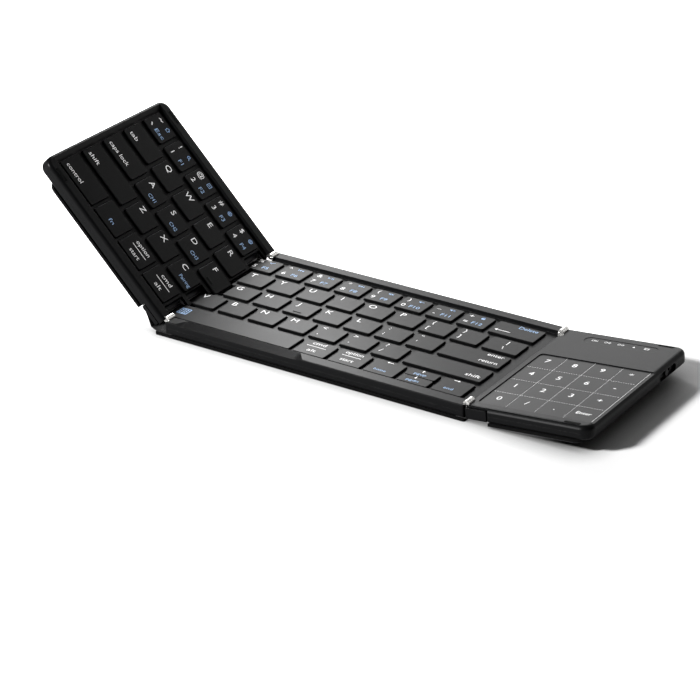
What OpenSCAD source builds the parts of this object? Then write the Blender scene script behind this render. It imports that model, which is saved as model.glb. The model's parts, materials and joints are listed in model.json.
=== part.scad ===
// Folding keyboard: a middle panel on the table with a key wing on the left and a touchpad wing on
// the right. Each panel is drawn in its own frame: x runs from its hinge axis, y to the rear, and
// z is the height over the plane of the hinge axes, so rim tops are near 0 and undersides are negative.

/* [Panels] */
// Distance between the two hinge axes
hinge_span = 157.2; // [156:0.1:162]
// Depth of every panel, front to rear
panel_depth = 92.2; // [92:0.1:96]
// Length of the left wing from its hinge axis
left_len = 91.7; // [91.5:0.1:95]
// Length of the right wing from its hinge axis
right_len = 60; // [60:0.1:63]
// Thickness of a panel with its board
panel_thick = 7.8; // [7.8:0.1:8.6]
// Gap between facing rims when a wing lies folded on the middle
rim_gap = 0.2; // [0.1:0.05:0.3]
// Angle of the left wing over the table
left_rest = 45.3; // [20:0.1:60]
// Angle of the right wing over the table
right_rest = 5.3; // [1:0.1:20]

/* [Shells] */
// Height of the seam between top frame and bottom shell, under the axis plane
seam_depth = 3.4; // [3.3:0.05:3.5]
// Depth of the key web under the rim
web_depth = 1.85; // [1.6:0.05:2]
// Wall of the bottom shells
wall = 1.2; // [1:0.1:1.4]
// Floor of the bottom shells
floor_thick = 1; // [0.8:0.1:1]
// Chamfer along the rims
rim_chamfer = 0.3; // [0.3:0.1:0.8]
// Chamfer along the lower edges
lower_chamfer = 0.8; // [0.4:0.1:1]
// Corner radius at the wings' free ends
free_corner_r = 5; // [4:0.5:8]
// Rounding along the left wing's rims
left_rim_round = 1.6; // [1:0.1:2]
// Rounding along the right wing's rims
right_rim_round = 2.2; // [1.4:0.1:2.4]
// Rounding along the wings' lower edges
lower_round = 1.3; // [0.8:0.1:1.6]
// Corner radius of the middle panel
mid_corner_r = 1; // [0.5:0.1:1.3]
// Room between a panel's end and the hinge axis
end_gap = 0.35; // [0.3:0.05:0.45]
// Width of the rear rim, from the outside to the start of its bevel
rear_rim = 5.3; // [5:0.1:5.6]
// Width of the front rim, from the outside to the start of its bevel
front_rim = 5.7; // [5.6:0.1:6]
// Width of the bevel between the left wing's rims and its web
bevel = 1.3; // [1:0.1:1.5]
// Width of the bevel between the middle panel's rims and its web
middle_bevel = 0.2; // [0.1:0.1:1]
// Width of the rim at the left wing's free end
end_rim = 1.3; // [1.2:0.1:1.6]

/* [Keys] */
// Key pitch along a row
key_pitch = 16.5; // [16.5:0.02:16.7]
// Row pitch
row_pitch = 15.72; // [15.6:0.02:15.8]
// Width of a letter cap
cap_w = 14.07; // [13.8:0.01:14.2]
// Depth of a cap
cap_d = 12.6; // [12.2:0.05:12.7]
// Depth of the bottom row's caps
bottom_cap_d = 13.4; // [13:0.05:13.5]
// Front edge of the number row
number_row_y = 25.05; // [24.9:0.05:25.2]
// Front edge of the bottom row
bottom_row_y = -38.65; // [-38.7:0.05:-38.4]
// Depth of the key tops under the axis plane
cap_top = 0.8; // [0.7:0.05:0.9]
// Thickness of a cap
cap_thick = 1.7; // [1.5:0.05:1.7]
// Chamfer round a cap's top
cap_chamfer = 0.2; // [0.2:0.05:0.5]
// Corner radius of a cap
cap_corner = 1.2; // [0.6:0.1:1.4]
// Key travel
key_travel = 1.2; // [0.8:0.1:1.2]
// Room between a cap and the web
key_clear = 0.3; // [0.25:0.05:0.35]
// Number row: distance from the left axis to its first middle key
shift_numbers = -4.5; // [-4.6:0.05:-4.2]
// Upper letter row: distance from the left axis to its first middle key
shift_upper = 1.25; // [1.1:0.05:1.4]
// Home row: distance from the left axis to its first middle key
shift_home = 4.25; // [4.1:0.05:4.4]
// Lower letter row: distance from the left axis to its first middle key
shift_lower = -4.1; // [-4.3:0.05:-3.9]
// Bottom row: distance from the left axis to the space bar
shift_bottom = -4.4; // [-4.6:0.05:-4.2]
// Width of the space bar
space_w = 66.75; // [66:0.1:67.2]
// Width of the bottom row's modifier caps
modifier_w = 16.35; // [16:0.05:16.5]
// Gap between the bottom row's caps
modifier_gap = 2.05; // [1.8:0.05:2.2]
// First bottom key of the left wing, from the hinge axis
left_bottom_start = 7.3; // [7.2:0.05:7.5]
// Margin between the keys and the right hinge axis
right_margin = 6.3; // [6:0.1:6.5]
// Margin between the keys and the left wing's free end
left_margin = 4.5; // [4.4:0.1:4.8]
// Length of the homing bars
homing_len = 4.4; // [3:0.1:6]

/* [Boards] */
// Thickness of the sliding boards
board_thick = 1.3; // [1.1:0.05:1.3]
// How far the middle board runs past the left axis
board_reach = 5.2; // [4.6:0.1:5.2]
// Depth of the boards
board_depth = 92.8; // [92.4:0.1:93]
// Length of the left sliding board
left_board_len = 69.7; // [66:0.1:70]
// Length of the right sliding board
right_board_len = 45; // [42:0.1:45]
// Distance from the left axis to the sliding board at rest
left_board_start = 12.3; // [12.3:0.1:13.5]
// Distance from the right axis to the sliding board at rest
right_board_start = 11.1; // [11.1:0.1:12]
// Corner radius of the boards
board_corner_r = 4.5; // [2:0.5:6]

/* [Hinges] */
// Radius of the knuckles
knuckle_r = 1.5; // [1.3:0.05:1.55]
// Radius of the hinge pins
pin_r = 0.5; // [0.4:0.05:0.6]
// Running clearance round a pin
pin_clear = 0.05; // [0.03:0.01:0.08]
// Thickness of a hinge leaf
leaf_thick = 0.7; // [0.5:0.05:0.8]
// Length of a hinge along its pin
hinge_len = 5.1; // [4.8:0.1:5.2]
// Distance from the middle line to a hinge
hinge_y = 39.4; // [39.3:0.05:39.5]
// Length of a leaf's foot
foot_len = 5.6; // [5:0.1:6]

/* [Touchpad and details] */
// Start of the touchpad, from the right axis
pad_start = 3.1; // [2.8:0.1:4]
// End of the touchpad, from the right axis
pad_end = 57.65; // [56:0.05:57.8]
// Front edge of the touchpad
pad_front = -40.4; // [-40.6:0.1:-38]
// Rear edge of the touchpad
pad_rear = 16; // [12:0.1:17]
// Recess of the touchpad
pad_recess = 0.4; // [0.3:0.05:0.5]
// Corner radius of the touchpad
pad_corner = 2; // [1:0.5:3]
// Length of the status strip
status_len = 36; // [30:0.5:38]
// Width of the status strip
status_w = 5.9; // [5:0.1:6.2]
// Length of a rim bumper
bumper_len = 7.5; // [6:0.1:9]
// Width of a rim bumper
bumper_w = 1.4; // [1:0.1:1.6]
// Distance from a rim bumper's middle to the left wing's free end
left_bumper_inset = 10.2; // [8:0.1:12]
// Distance from a rim bumper's middle to the right wing's free end
right_bumper_inset = 9.4; // [8:0.1:12]
// Travel of the power knob
power_travel = 4; // [3:0.1:4]
// Radius of the power knob
power_r = 1.5; // [1.2:0.05:1.6]
// Width of the charging socket
socket_w = 7.6; // [7.2:0.1:8]
// Depth of the finger scoop in the front rim
scoop_depth = 1; // [1:0.1:2]
// Length of the battery cell
battery_len = 40; // [36:0.5:42]
// Width of the battery cell
battery_w = 34; // [30:0.5:34]
// Thickness of the battery cell
battery_thick = 2.7; // [2.2:0.1:2.7]
// Length of the main circuit board
main_board_len = 49.8; // [44:0.1:50]
// Thickness of the main circuit board
main_board_thick = 0.8; // [0.6:0.1:1]

/* [Hidden] */
$fn = 48;
axis_z = panel_thick;
half_d = panel_depth/2;
rim_top = -rim_gap/2;
seam = -seam_depth;
web_top = -web_depth;
board_top = board_thick - panel_thick;
slide_gap = 0.1;
pad_gap = 0.08;
shell_bottom = board_top + slide_gap;
shell_floor = shell_bottom + floor_thick;
hinge_bottom = shell_bottom + 0.4;
cap_top_z = -cap_top;
cap_bottom_z = -cap_top - cap_thick;
stem_z = cap_bottom_z - 0.4;
pressed_z = cap_bottom_z - key_travel;
plate_thick = 0.3;
plate_top = shell_floor + plate_thick;
sheet_top = plate_top + plate_thick;
dome_h = 0.55;
dome_r = 2.2;
keys_right = hinge_span - right_margin;
keys_outer = left_len - left_margin;
swing_r = sqrt(pow(shift_numbers, 2) + pow(pressed_z, 2)) + 0.3;
home_overhang = key_pitch - cap_w - shift_home;
home_swing_r = sqrt(pow(home_overhang, 2) + pow(pressed_z, 2)) + 0.3;
left_bar_end = 11.5;
right_bar_end = 10.3;
bar_gap = 0.7;
flex_y = number_row_y - (row_pitch - cap_d)/2;
flex_w = 2;
flex_thick = 0.15;
over = 1;

dark = "#2e2f32";
darker = "#222325";
metal = "#b9b9b6";
fabric = "#4b4c4f";

// ---------------------------------------------------------------- places and plain helpers

module at_middle() translate([-hinge_span/2, 0, axis_z]) children();
module at_left() translate([-hinge_span/2, 0, axis_z]) rotate([0, left_rest, 0]) mirror([1, 0, 0]) children();
module at_right() translate([hinge_span/2, 0, axis_z]) rotate([0, -right_rest, 0]) children();
module both_hinges() {
    children();
    translate([hinge_span, 0, 0]) mirror([1, 0, 0]) children();
}
module front_and_rear() {
    children();
    mirror([0, 1, 0]) children();
}
// A drawing in (y, z) carried along x from x0 to x1
module along_x(x0, x1) translate([x0, 0, 0]) rotate([90, 0, 90]) linear_extrude(x1 - x0) children();
// A drawing in (x, z) carried along y from y0 to y1
module along_y(y0, y1) translate([0, y1, 0]) rotate([90, 0, 0]) linear_extrude(y1 - y0) children();
module box(x0, x1, y0, y1, z0, z1) translate([x0, y0, z0]) cube([x1 - x0, y1 - y0, z1 - z0]);
// A rod along y round the axis at (x, z)
module rod(r, y0, y1, x = 0, z = 0) translate([x, y1, z]) rotate([90, 0, 0]) cylinder(r = r, h = y1 - y0);
module rounded(x0, x1, y0, y1, r) {
    translate([x0 + r, y0]) square([x1 - x0 - 2*r, y1 - y0]);
    translate([x0, y0 + r]) square([x1 - x0, y1 - y0 - 2*r]);
    for (x = [x0 + r, x1 - r], y = [y0 + r, y1 - r]) translate([x, y]) circle(r);
}
// A plate that is square at its hinge end and rounded at its free end
module free_end(x0, x1, half, r) {
    translate([x0, -half]) square([x1 - r - x0, 2*half]);
    translate([x0, -half + r]) square([x1 - x0, 2*(half - r)]);
    for (s = [-1, 1]) translate([x1 - r, s*(half - r)]) circle(r);
}
module slot_2d(len, w) {
    square([len - w, w], center = true);
    for (s = [-1, 1]) translate([s*(len - w)/2, 0]) circle(w/2);
}

// ---------------------------------------------------------------- key layout: [x0, x1, y0, y1]

function row_y(row) = number_row_y - row*row_pitch;
function cap(x0, x1, row) = [x0, x1, row_y(row), row_y(row) + cap_d];
function bottom_cap(x0, x1) = [x0, x1, bottom_row_y, bottom_row_y + bottom_cap_d];
function cap_run(first, count, row, pitch = key_pitch) =
    [for (i = [0:count - 1]) cap(first + i*pitch, first + (i + 1)*pitch - key_gap, row)];
function run_end(first, count, pitch = key_pitch) = first + count*pitch;

key_gap = key_pitch - cap_w;
left_first = [
    key_gap - shift_numbers, key_gap - shift_upper, key_gap - shift_home, key_gap - shift_lower
];
// The four number keys and Escape share the left wing evenly, and the other rows keep their pitch
left_pitch = (keys_outer + key_gap - left_first[0])/5;
one_to_four = cap_run(left_first[0], 4, 0, left_pitch);
qwer = cap_run(left_first[1], 4, 1, left_pitch);
asdf = cap_run(left_first[2], 4, 2, left_pitch);
zxc = cap_run(left_first[3], 3, 3, left_pitch);
escape = cap(run_end(left_first[0], 4, left_pitch), keys_outer, 0);
tab = cap(run_end(left_first[1], 4, left_pitch), keys_outer, 1);
caps_lock = cap(run_end(left_first[2], 4, left_pitch), keys_outer, 2);
shift_left = cap(run_end(left_first[3], 3, left_pitch), keys_outer, 3);
modifier_step = modifier_w + modifier_gap;
left_modifier_w = modifier_w*left_pitch/key_pitch;
function left_modifier_x(i) = left_bottom_start + i*(left_modifier_w + modifier_gap);
command_left = bottom_cap(left_modifier_x(0), left_modifier_x(0) + left_modifier_w);
option_left = bottom_cap(left_modifier_x(1), left_modifier_x(1) + left_modifier_w);
function_key = bottom_cap(left_modifier_x(2), left_modifier_x(2) + left_modifier_w);
control = bottom_cap(left_modifier_x(3), keys_outer);
left_keys = concat(one_to_four, qwer, asdf, zxc, [escape, tab, caps_lock, shift_left],
    [command_left, option_left, function_key, control]);

five_to_equals = cap_run(shift_numbers, 8, 0);
t_to_bracket = cap_run(shift_upper, 8, 1);
g_to_quote = cap_run(shift_home, 7, 2);
v_to_slash = cap_run(shift_lower, 7, 3);
delete = cap(run_end(shift_numbers, 8), keys_right, 0);
backslash = cap(run_end(shift_upper, 8), keys_right, 1);
enter = cap(run_end(shift_home, 7), keys_right, 2);
shift_right = cap(run_end(shift_lower, 7), keys_right, 3);
space = bottom_cap(shift_bottom, shift_bottom + space_w);
command_start = shift_bottom + space_w + modifier_gap;
command_right = bottom_cap(command_start, command_start + modifier_w);
option_right = bottom_cap(command_start + modifier_step, command_start + modifier_step + modifier_w);
arrows_start = command_start + 2*modifier_step;
arrow_w = (keys_right - arrows_start - 2*modifier_gap)/3;
function arrow_x(i) = arrows_start + i*(arrow_w + modifier_gap);
arrow_left = bottom_cap(arrow_x(0), arrow_x(0) + arrow_w);
arrow_right = bottom_cap(arrow_x(2), arrow_x(2) + arrow_w);
half_cap_d = (bottom_cap_d - 0.4)/2;
arrow_down = [arrow_x(1), arrow_x(1) + arrow_w, bottom_row_y, bottom_row_y + half_cap_d];
arrow_up = [arrow_x(1), arrow_x(1) + arrow_w, bottom_row_y + bottom_cap_d - half_cap_d,
    bottom_row_y + bottom_cap_d];
middle_keys = concat(five_to_equals, t_to_bracket, g_to_quote, v_to_slash, [delete, backslash, enter],
    [shift_right, space, command_right, option_right, arrow_left, arrow_down, arrow_up, arrow_right]);

// One cap: a rounded plate with a chamfered top and a short stem under its middle
module key_cap(k) {
    c = cap_chamfer;
    intersection() {
        translate([0, 0, cap_bottom_z]) linear_extrude(cap_thick) rounded(k[0], k[1], k[2], k[3], cap_corner);
        along_y(k[2], k[3]) polygon([[k[0], cap_bottom_z], [k[0], cap_top_z - c], [k[0] + c, cap_top_z],
            [k[1] - c, cap_top_z], [k[1], cap_top_z - c], [k[1], cap_bottom_z]]);
        along_x(k[0], k[1]) polygon([[k[2], cap_bottom_z], [k[2], cap_top_z - c], [k[2] + c, cap_top_z],
            [k[3] - c, cap_top_z], [k[3], cap_top_z - c], [k[3], cap_bottom_z]]);
    }
    translate([stem_x(k), (k[2] + k[3])/2, stem_z]) cylinder(r = 1.4, h = cap_bottom_z - stem_z);
}
// Stems and domes stay on the panel where a cap reaches over its hinge
function stem_x(k) = max((k[0] + k[1])/2, 5);
module key_caps(keys) for (k = keys) key_cap(k);
module key_openings(keys) for (k = keys)
    translate([0, 0, pressed_z - 0.3]) linear_extrude(axis_z)
        rounded(k[0] - key_clear, k[1] + key_clear, k[2] - key_clear, k[3] + key_clear, cap_corner);
// Room in a panel for the caps that reach over its hinge from the other panel
module swing_room(keys, r) for (k = keys) {
    rod(r, k[2] - key_clear, k[3] + key_clear);
    box(-over, -k[0] + 0.8, k[2] - key_clear, k[3] + key_clear, pressed_z - 0.3, over);
}
overhang_middle = [five_to_equals[0], v_to_slash[0], space];
overhang_left = [asdf[0]];
module room_in_left() swing_room(overhang_middle, swing_r);
module room_in_middle() swing_room(overhang_left, home_swing_r);

// ---------------------------------------------------------------- sections of the shells

// (y, z) section of a keyed top frame, from the seam to the rims
module keyed_section(step) polygon([
    [-half_d, seam], [-half_d, rim_top - rim_chamfer], [-half_d + rim_chamfer, rim_top],
    [-half_d + front_rim, rim_top], [-half_d + front_rim + step, web_top],
    [half_d - rear_rim - step, web_top], [half_d - rear_rim, rim_top],
    [half_d - rim_chamfer, rim_top], [half_d, rim_top - rim_chamfer], [half_d, seam]
]);
// (y, z) section of a flat top, from the seam to the rims
module flat_section() polygon([
    [-half_d, seam], [-half_d, rim_top - rim_chamfer], [-half_d + rim_chamfer, rim_top],
    [half_d - rim_chamfer, rim_top], [half_d, rim_top - rim_chamfer], [half_d, seam]
]);
// (y, z) section of a bottom shell's outside
module lower_section() polygon([
    [-half_d, seam], [half_d, seam], [half_d, shell_bottom + lower_chamfer],
    [half_d - lower_chamfer, shell_bottom], [-half_d + lower_chamfer, shell_bottom],
    [-half_d, shell_bottom + lower_chamfer]
]);
// Steps of a wing's rounded edge, from the underside to the rim: [distance in from the outside, height]
edge_steps = 5;
function wing_edge(rim_round) = concat(
    [for (i = [edge_steps:-1:0]) let (a = 90*i/edge_steps)
        [lower_round*(1 - cos(a)), shell_bottom + lower_round*(1 - sin(a))]],
    [for (i = [0:edge_steps]) let (a = 90*i/edge_steps)
        [rim_round*(1 - cos(a)), rim_top - rim_round*(1 - sin(a))]]
);
// Half of the rounded outline, reaching out to a given distance
function edge_out(reach, rim_round) = [for (p = wing_edge(rim_round)) [reach - p[0], p[1]]];
function edge_back(reach, rim_round) = [for (i = [2*edge_steps + 1:-1:0])
    let (p = wing_edge(rim_round)[i]) [p[0] - reach, p[1]]];
// A wing's whole outside: square at its hinge, rounded along its edges and at its free corners
module wing_solid(length, rim_round) {
    corner_y = half_d - free_corner_r;
    along_x(-over, length - free_corner_r)
        polygon(concat(edge_out(half_d, rim_round), edge_back(half_d, rim_round)));
    along_y(-corner_y, corner_y)
        polygon(concat([[-over, shell_bottom]], edge_out(length, rim_round), [[-over, rim_top]]));
    front_and_rear() translate([length - free_corner_r, corner_y, 0]) rotate_extrude()
        polygon(concat([[0, shell_bottom]], edge_out(free_corner_r, rim_round), [[0, rim_top]]));
}

// Room for a hinge at the front and the rear of a panel's hinge end
module hinge_room() front_and_rear() {
    box(-over, knuckle_r + 0.15, hinge_y - 0.1, hinge_y + hinge_len + 0.15, seam - over, over);
    box(0, leaf_start + foot_len + 0.1, hinge_y - 0.1, hinge_y + hinge_len + 0.15, seam - over, foot_top);
    translate([screw_x, screw_y, foot_top - 0.1]) cylinder(r = screw_r, h = screw_len);
}
module flex_room() box(-over, 3, flex_y - flex_w/2 - 0.2, flex_y + flex_w/2 + 0.2, seam - 0.5, seam + 0.01);

// ---------------------------------------------------------------- hinges

leaf_start = knuckle_r - leaf_thick;
foot_top = -2.4;
foot_thick = 0.6;
screw_x = leaf_start + foot_len - 1.9;
screw_y = hinge_y + hinge_len/2;
screw_r = 0.6;
screw_len = 1.2;
knuckle_step = hinge_len/3;

// A leaf: knuckles on the axis, a plate down the panel's end and a foot under its rim
module hinge_leaf(own, other) front_and_rear() difference() {
    union() {
        for (i = own) rod(knuckle_r, knuckle_y(i) + 0.05, knuckle_y(i + 1) - 0.05);
        box(leaf_start, knuckle_r, hinge_y, hinge_y + hinge_len, foot_top - foot_thick, 0);
        box(leaf_start, leaf_start + foot_len, hinge_y, hinge_y + hinge_len, foot_top - foot_thick, foot_top);
    }
    for (i = other) rod(knuckle_r + 0.1, knuckle_y(i) - 0.05, knuckle_y(i + 1) + 0.05);
    rod(pin_r + (own[0] == 1 ? pin_clear : 0), hinge_y - over, hinge_y + hinge_len + over);
    translate([screw_x, screw_y, foot_top - over]) cylinder(r = screw_r, h = 2*over);
}
function knuckle_y(i) = hinge_y + i*knuckle_step;
module hinge_screws_2() front_and_rear() translate([screw_x, screw_y, 0]) {
    translate([0, 0, foot_top - foot_thick - 0.5]) cylinder(r = 1.1, h = 0.5);
    translate([0, 0, foot_top - foot_thick]) cylinder(r = screw_r, h = foot_thick + 1);
}

// ---------------------------------------------------------------- middle panel

middle_x0 = end_gap;
middle_x1 = hinge_span - end_gap;
scoop_top = [5, 76];
scoop_low = [10, 69];

module middle_top_frame() color(dark) at_middle() difference() {
    intersection() {
        along_x(middle_x0, middle_x1) keyed_section(middle_bevel);
        translate([0, 0, seam]) linear_extrude(axis_z)
            rounded(middle_x0, middle_x1, -half_d, half_d, mid_corner_r);
    }
    key_openings(middle_keys);
    room_in_middle();
    both_hinges() hinge_room();
    finger_scoop();
}
scoop_steps = 6;
// One end of the scoop: a soft rise from its floor to the rim
function scoop_rise(low, top) = [for (i = [0:scoop_steps]) let (t = i/scoop_steps)
    [low + t*(top - low), -scoop_depth*(1 + cos(180*t))/2]];
// The finger scoop slopes down to the front and rises to the rim at both of its ends
module finger_scoop() translate([0, -half_d, rim_top])
    rotate([atan(scoop_depth/front_rim), 0, 0]) translate([0, -rim_top, 0])
        along_y(-over, front_rim + over) polygon(concat(scoop_rise(scoop_low[1], scoop_top[1]),
            [[scoop_top[1], 2*over], [scoop_top[0], 2*over]],
            [for (i = [scoop_steps:-1:0]) scoop_rise(scoop_low[0], scoop_top[0])[i]]));

module middle_bottom_shell() color(dark) at_middle() difference() {
    intersection() {
        along_x(middle_x0, middle_x1) lower_section();
        translate([0, 0, shell_bottom]) linear_extrude(axis_z)
            rounded(middle_x0, middle_x1, -half_d, half_d, mid_corner_r);
    }
    box(middle_x0 + wall, middle_x1 - wall, -half_d + wall, half_d - wall, shell_floor, 0);
    key_openings(middle_keys);
    room_in_middle();
    both_hinges() {
        hinge_room();
        flex_room();
        box(-over, 4.5, -half_d - over, half_d + over, shell_bottom - over, hinge_bottom);
    }
}
module middle_board() color(fabric) at_middle() translate([0, 0, -axis_z])
    linear_extrude(shell_bottom + axis_z)
        rounded(-board_reach, hinge_span + 0.3, -board_depth/2, board_depth/2, mid_corner_r);
module middle_support_plate() color(metal) at_middle() difference() {
    box(middle_x0 + wall, middle_x1 - wall, -half_d + wall, half_d - wall, shell_floor, plate_top);
    room_in_middle();
}
module middle_dome_sheet() color(fabric) at_middle() difference() {
    union() {
        box(middle_x0 + wall, middle_x1 - wall, -half_d + wall, half_d - wall, plate_top, sheet_top);
        domes(middle_keys);
    }
    room_in_middle();
}
module domes(keys) for (k = keys)
    translate([stem_x(k), (k[2] + k[3])/2, sheet_top]) cylinder(r = dome_r, h = dome_h);
module middle_hinge_leaves() color(metal) at_middle() both_hinges() hinge_leaf([0, 2], [1]);
module hinge_pins() color(metal) at_middle() both_hinges() front_and_rear()
    rod(pin_r, hinge_y, hinge_y + hinge_len);
module middle_hinge_screws() color(metal) at_middle() both_hinges() hinge_screws_2();

// ---------------------------------------------------------------- spine skins and flexible cables

// A point of a wing, in a hinge's own frame: x away from the middle panel, z over the axis plane
function wing_point(u, n, a) = [u*cos(a) - n*sin(a), u*sin(a) + n*cos(a)];
function unit(v) = v/norm(v);
function step_dir(p, i) = unit(p[min(i + 1, len(p) - 1)] - p[max(i - 1, 0)]);
function side_point(p, i, t) = p[i] + t*[-step_dir(p, i)[1], step_dir(p, i)[0]];
// A band of even thickness along a path
module band(p, t) polygon(concat(
    [for (i = [0:len(p) - 1]) side_point(p, i, t/2)],
    [for (i = [len(p) - 1:-1:0]) side_point(p, i, -t/2)]
));
module at_left_hinge() translate([-hinge_span/2, 0, axis_z]) mirror([1, 0, 0]) children();
module at_right_hinge() translate([hinge_span/2, 0, axis_z]) children();

skin_thick = 0.3;
skin_z = (shell_bottom + hinge_bottom)/2;
skin_inner = 4.2;
skin_bulge = 3.7;
// Depth of the skin's fold under the wing, and where the fold starts, clear of the middle board
function fold_n(a) = skin_z - skin_bulge*sin(a);
function fold_u(a) = max(1.5, (board_reach + 1.5 + fold_n(a)*sin(a))/cos(a));
function left_skin_path(a) = [
    [-skin_inner, skin_z], [board_reach - 1, skin_z], wing_point(fold_u(a), fold_n(a), a),
    wing_point(fold_u(a) + 1.1, fold_n(a) + 0.1, a), wing_point(9, skin_z, a),
    wing_point(left_bar_end, skin_z, a)
];
function right_skin_path(a) = [
    [-skin_inner, skin_z], [0, skin_z], wing_point(3, skin_z, a), wing_point(right_bar_end, skin_z, a)
];
module spine_skin_left() color(fabric) at_left_hinge() along_y(-half_d + 0.5, half_d - 0.5)
    band(left_skin_path(left_rest), skin_thick);
module spine_skin_right() color(fabric) at_right_hinge() along_y(-half_d + 0.5, half_d - 0.5)
    band(right_skin_path(right_rest), skin_thick);

flex_z = seam - flex_thick/2;
flex_steps = 8;
function flex_path(a, inner, outer) = concat(
    [[-inner, flex_z], [-inner/2, flex_z]],
    [for (i = [0:flex_steps]) wing_point(0, flex_z, a*i/flex_steps)],
    [wing_point(outer/2, flex_z, a), wing_point(outer, flex_z, a)]
);
module flex_cable(a, inner, outer) along_y(flex_y - flex_w/2, flex_y + flex_w/2)
    band(flex_path(a, inner, outer), flex_thick);
module flex_cable_left() color("#8a6a3a") at_left_hinge() flex_cable(left_rest, 8, 8);
module flex_cable_right() color("#8a6a3a") at_right_hinge() flex_cable(right_rest, 5, 8);

// ---------------------------------------------------------------- left wing

left_shell_start = left_bar_end + bar_gap;
left_well_end = left_len - 3.7;

module left_top_frame() color(darker) at_left() difference() {
    intersection() {
        union() {
            along_x(end_gap, left_len) keyed_section(bevel);
            along_y(-half_d + rim_chamfer, half_d - rim_chamfer) polygon([
                [left_well_end, seam], [left_well_end, web_top], [left_len - end_rim, rim_top],
                [left_len, rim_top], [left_len, seam]
            ]);
        }
        wing_solid(left_len, left_rim_round);
    }
    key_openings(left_keys);
    room_in_left();
    hinge_room();
    rim_bumper_places(left_bumper_x) bumper_room();
}
module left_bottom_shell() color(dark) at_left() difference() {
    intersection() {
        along_x(left_shell_start, left_len) lower_section();
        wing_solid(left_len, left_rim_round);
    }
    wing_cavity(left_shell_start - over, left_len);
}
module wing_cavity(x0, len) translate([0, 0, shell_floor]) linear_extrude(axis_z)
    free_end(x0, len - wall - 0.4, half_d - wall, free_corner_r - wall);
module left_board() color(fabric) at_left() translate([0, 0, -axis_z]) linear_extrude(board_thick)
    free_end(left_board_start, left_board_start + left_board_len, board_depth/2, board_corner_r);
module left_support_plate() color(metal) at_left() difference() {
    wing_plate(2.2, left_len, shell_floor, plate_top);
    room_in_left();
}
module left_dome_sheet() color(fabric) at_left() difference() {
    union() {
        wing_plate(2.2, left_len, plate_top, sheet_top);
        domes(left_keys);
    }
    room_in_left();
}
module wing_plate(x0, len, z0, z1) translate([0, 0, z0]) linear_extrude(z1 - z0)
    free_end(x0, len - wall - 0.4, half_d - wall, free_corner_r - wall);
module left_hinge_leaves() color(metal) at_left() hinge_leaf([1], [0, 2]);
module left_hinge_screws() color(metal) at_left() hinge_screws_2();

left_bumper_x = left_len - left_bumper_inset;
right_bumper_x = right_len - right_bumper_inset;
bumper_y = 43.4;
bumper_deep = 0.6;
module rim_bumper_places(x) front_and_rear() translate([x, bumper_y, rim_top]) children();
bumper_gap = 0.2;
module bumper_room() translate([0, 0, -bumper_deep]) linear_extrude(axis_z)
    slot_2d(bumper_len + 2*bumper_gap, bumper_w + 2*bumper_gap);
module bumper() translate([0, 0, -bumper_deep]) linear_extrude(bumper_deep + rim_gap/2 - 0.03)
    slot_2d(bumper_len, bumper_w);
module left_bumpers() color("#151515") at_left() rim_bumper_places(left_bumper_x) bumper();

// A spine bar closes a wing's underside beside its hinge and ends in a block at the front and the rear
module spine_bar(block_start, block_end, block_top, shell_start) {
    box(3.3, shell_start, -half_d + wall, half_d - wall, hinge_bottom, shell_floor);
    front_and_rear() box(block_start, block_end, half_d - wall, half_d, hinge_bottom, block_top);
}
module left_spine_bar() color(dark) at_left() difference() {
    spine_bar(1.2, left_bar_end, -3.9, left_shell_start);
    room_in_left();
}

// ---------------------------------------------------------------- right wing

right_shell_start = right_bar_end + bar_gap;
right_cavity_end = right_len - 2.6;
right_cavity_top = -2.3;
cavity_half = 38.5;
pad_z = rim_top - pad_recess;
pad_thick = 1;
status_x = 31.3;
status_y = 37.4;
status_recess = 0.15;
power_y = 25.2;
power_z = -3.75;
recess_y = [18, 33.5];
recess_z = [-5.5, -2];
recess_x = right_len - 1.3;
socket_x = 44;
socket_z = [-5.2, -2.8];
socket_y = 39.6;

module right_top_shell() color(darker) at_right() difference() {
    intersection() {
        along_x(end_gap, right_len) flat_section();
        wing_solid(right_len, right_rim_round);
    }
    box(2, right_cavity_end, -cavity_half, cavity_half, seam - over, right_cavity_top);
    translate([0, 0, pad_z - pad_thick]) linear_extrude(axis_z)
        rounded(pad_start, pad_end, pad_front, pad_rear, pad_corner);
    box(pad_end - pad_corner, right_len + over, pad_front, pad_rear, pad_z, over);
    translate([status_x, status_y, pad_z - 0.8]) linear_extrude(axis_z) slot_2d(status_len, status_w);
    hinge_room();
    block_room();
    rim_bumper_places(right_bumper_x) bumper_room();
    power_recess();
    socket_room();
    along_y(-half_d - over, half_d + over) polygon([[0, rim_top - 0.5], [0.9, rim_top + 0.05],
        [0.9, over], [0, over]]);
}
// Cut-outs for the spine bar's end blocks
module block_room() front_and_rear() {
    box(-over, right_shell_start, half_d - wall - 0.1, half_d + over, seam - over, -0.6);
}
// Finger recess in the side face, with a slot for the power knob
module power_recess() {
    r = (recess_z[1] - recess_z[0])/2;
    translate([recess_x, (recess_y[0] + recess_y[1])/2, (recess_z[0] + recess_z[1])/2])
        rotate([90, 0, 90]) linear_extrude(2*over) slot_2d(recess_y[1] - recess_y[0], 2*r);
    translate([right_cavity_end - over, power_y + power_travel/2, power_z]) rotate([90, 0, 90])
        linear_extrude(3*over) slot_2d(power_travel + 1.5, 1.5);
}
module socket_room() box(socket_x - 0.1, socket_x + socket_w + 0.1, socket_y - 0.1, half_d + over,
    socket_z[0] - 0.1, socket_z[1] + 0.1);

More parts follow.
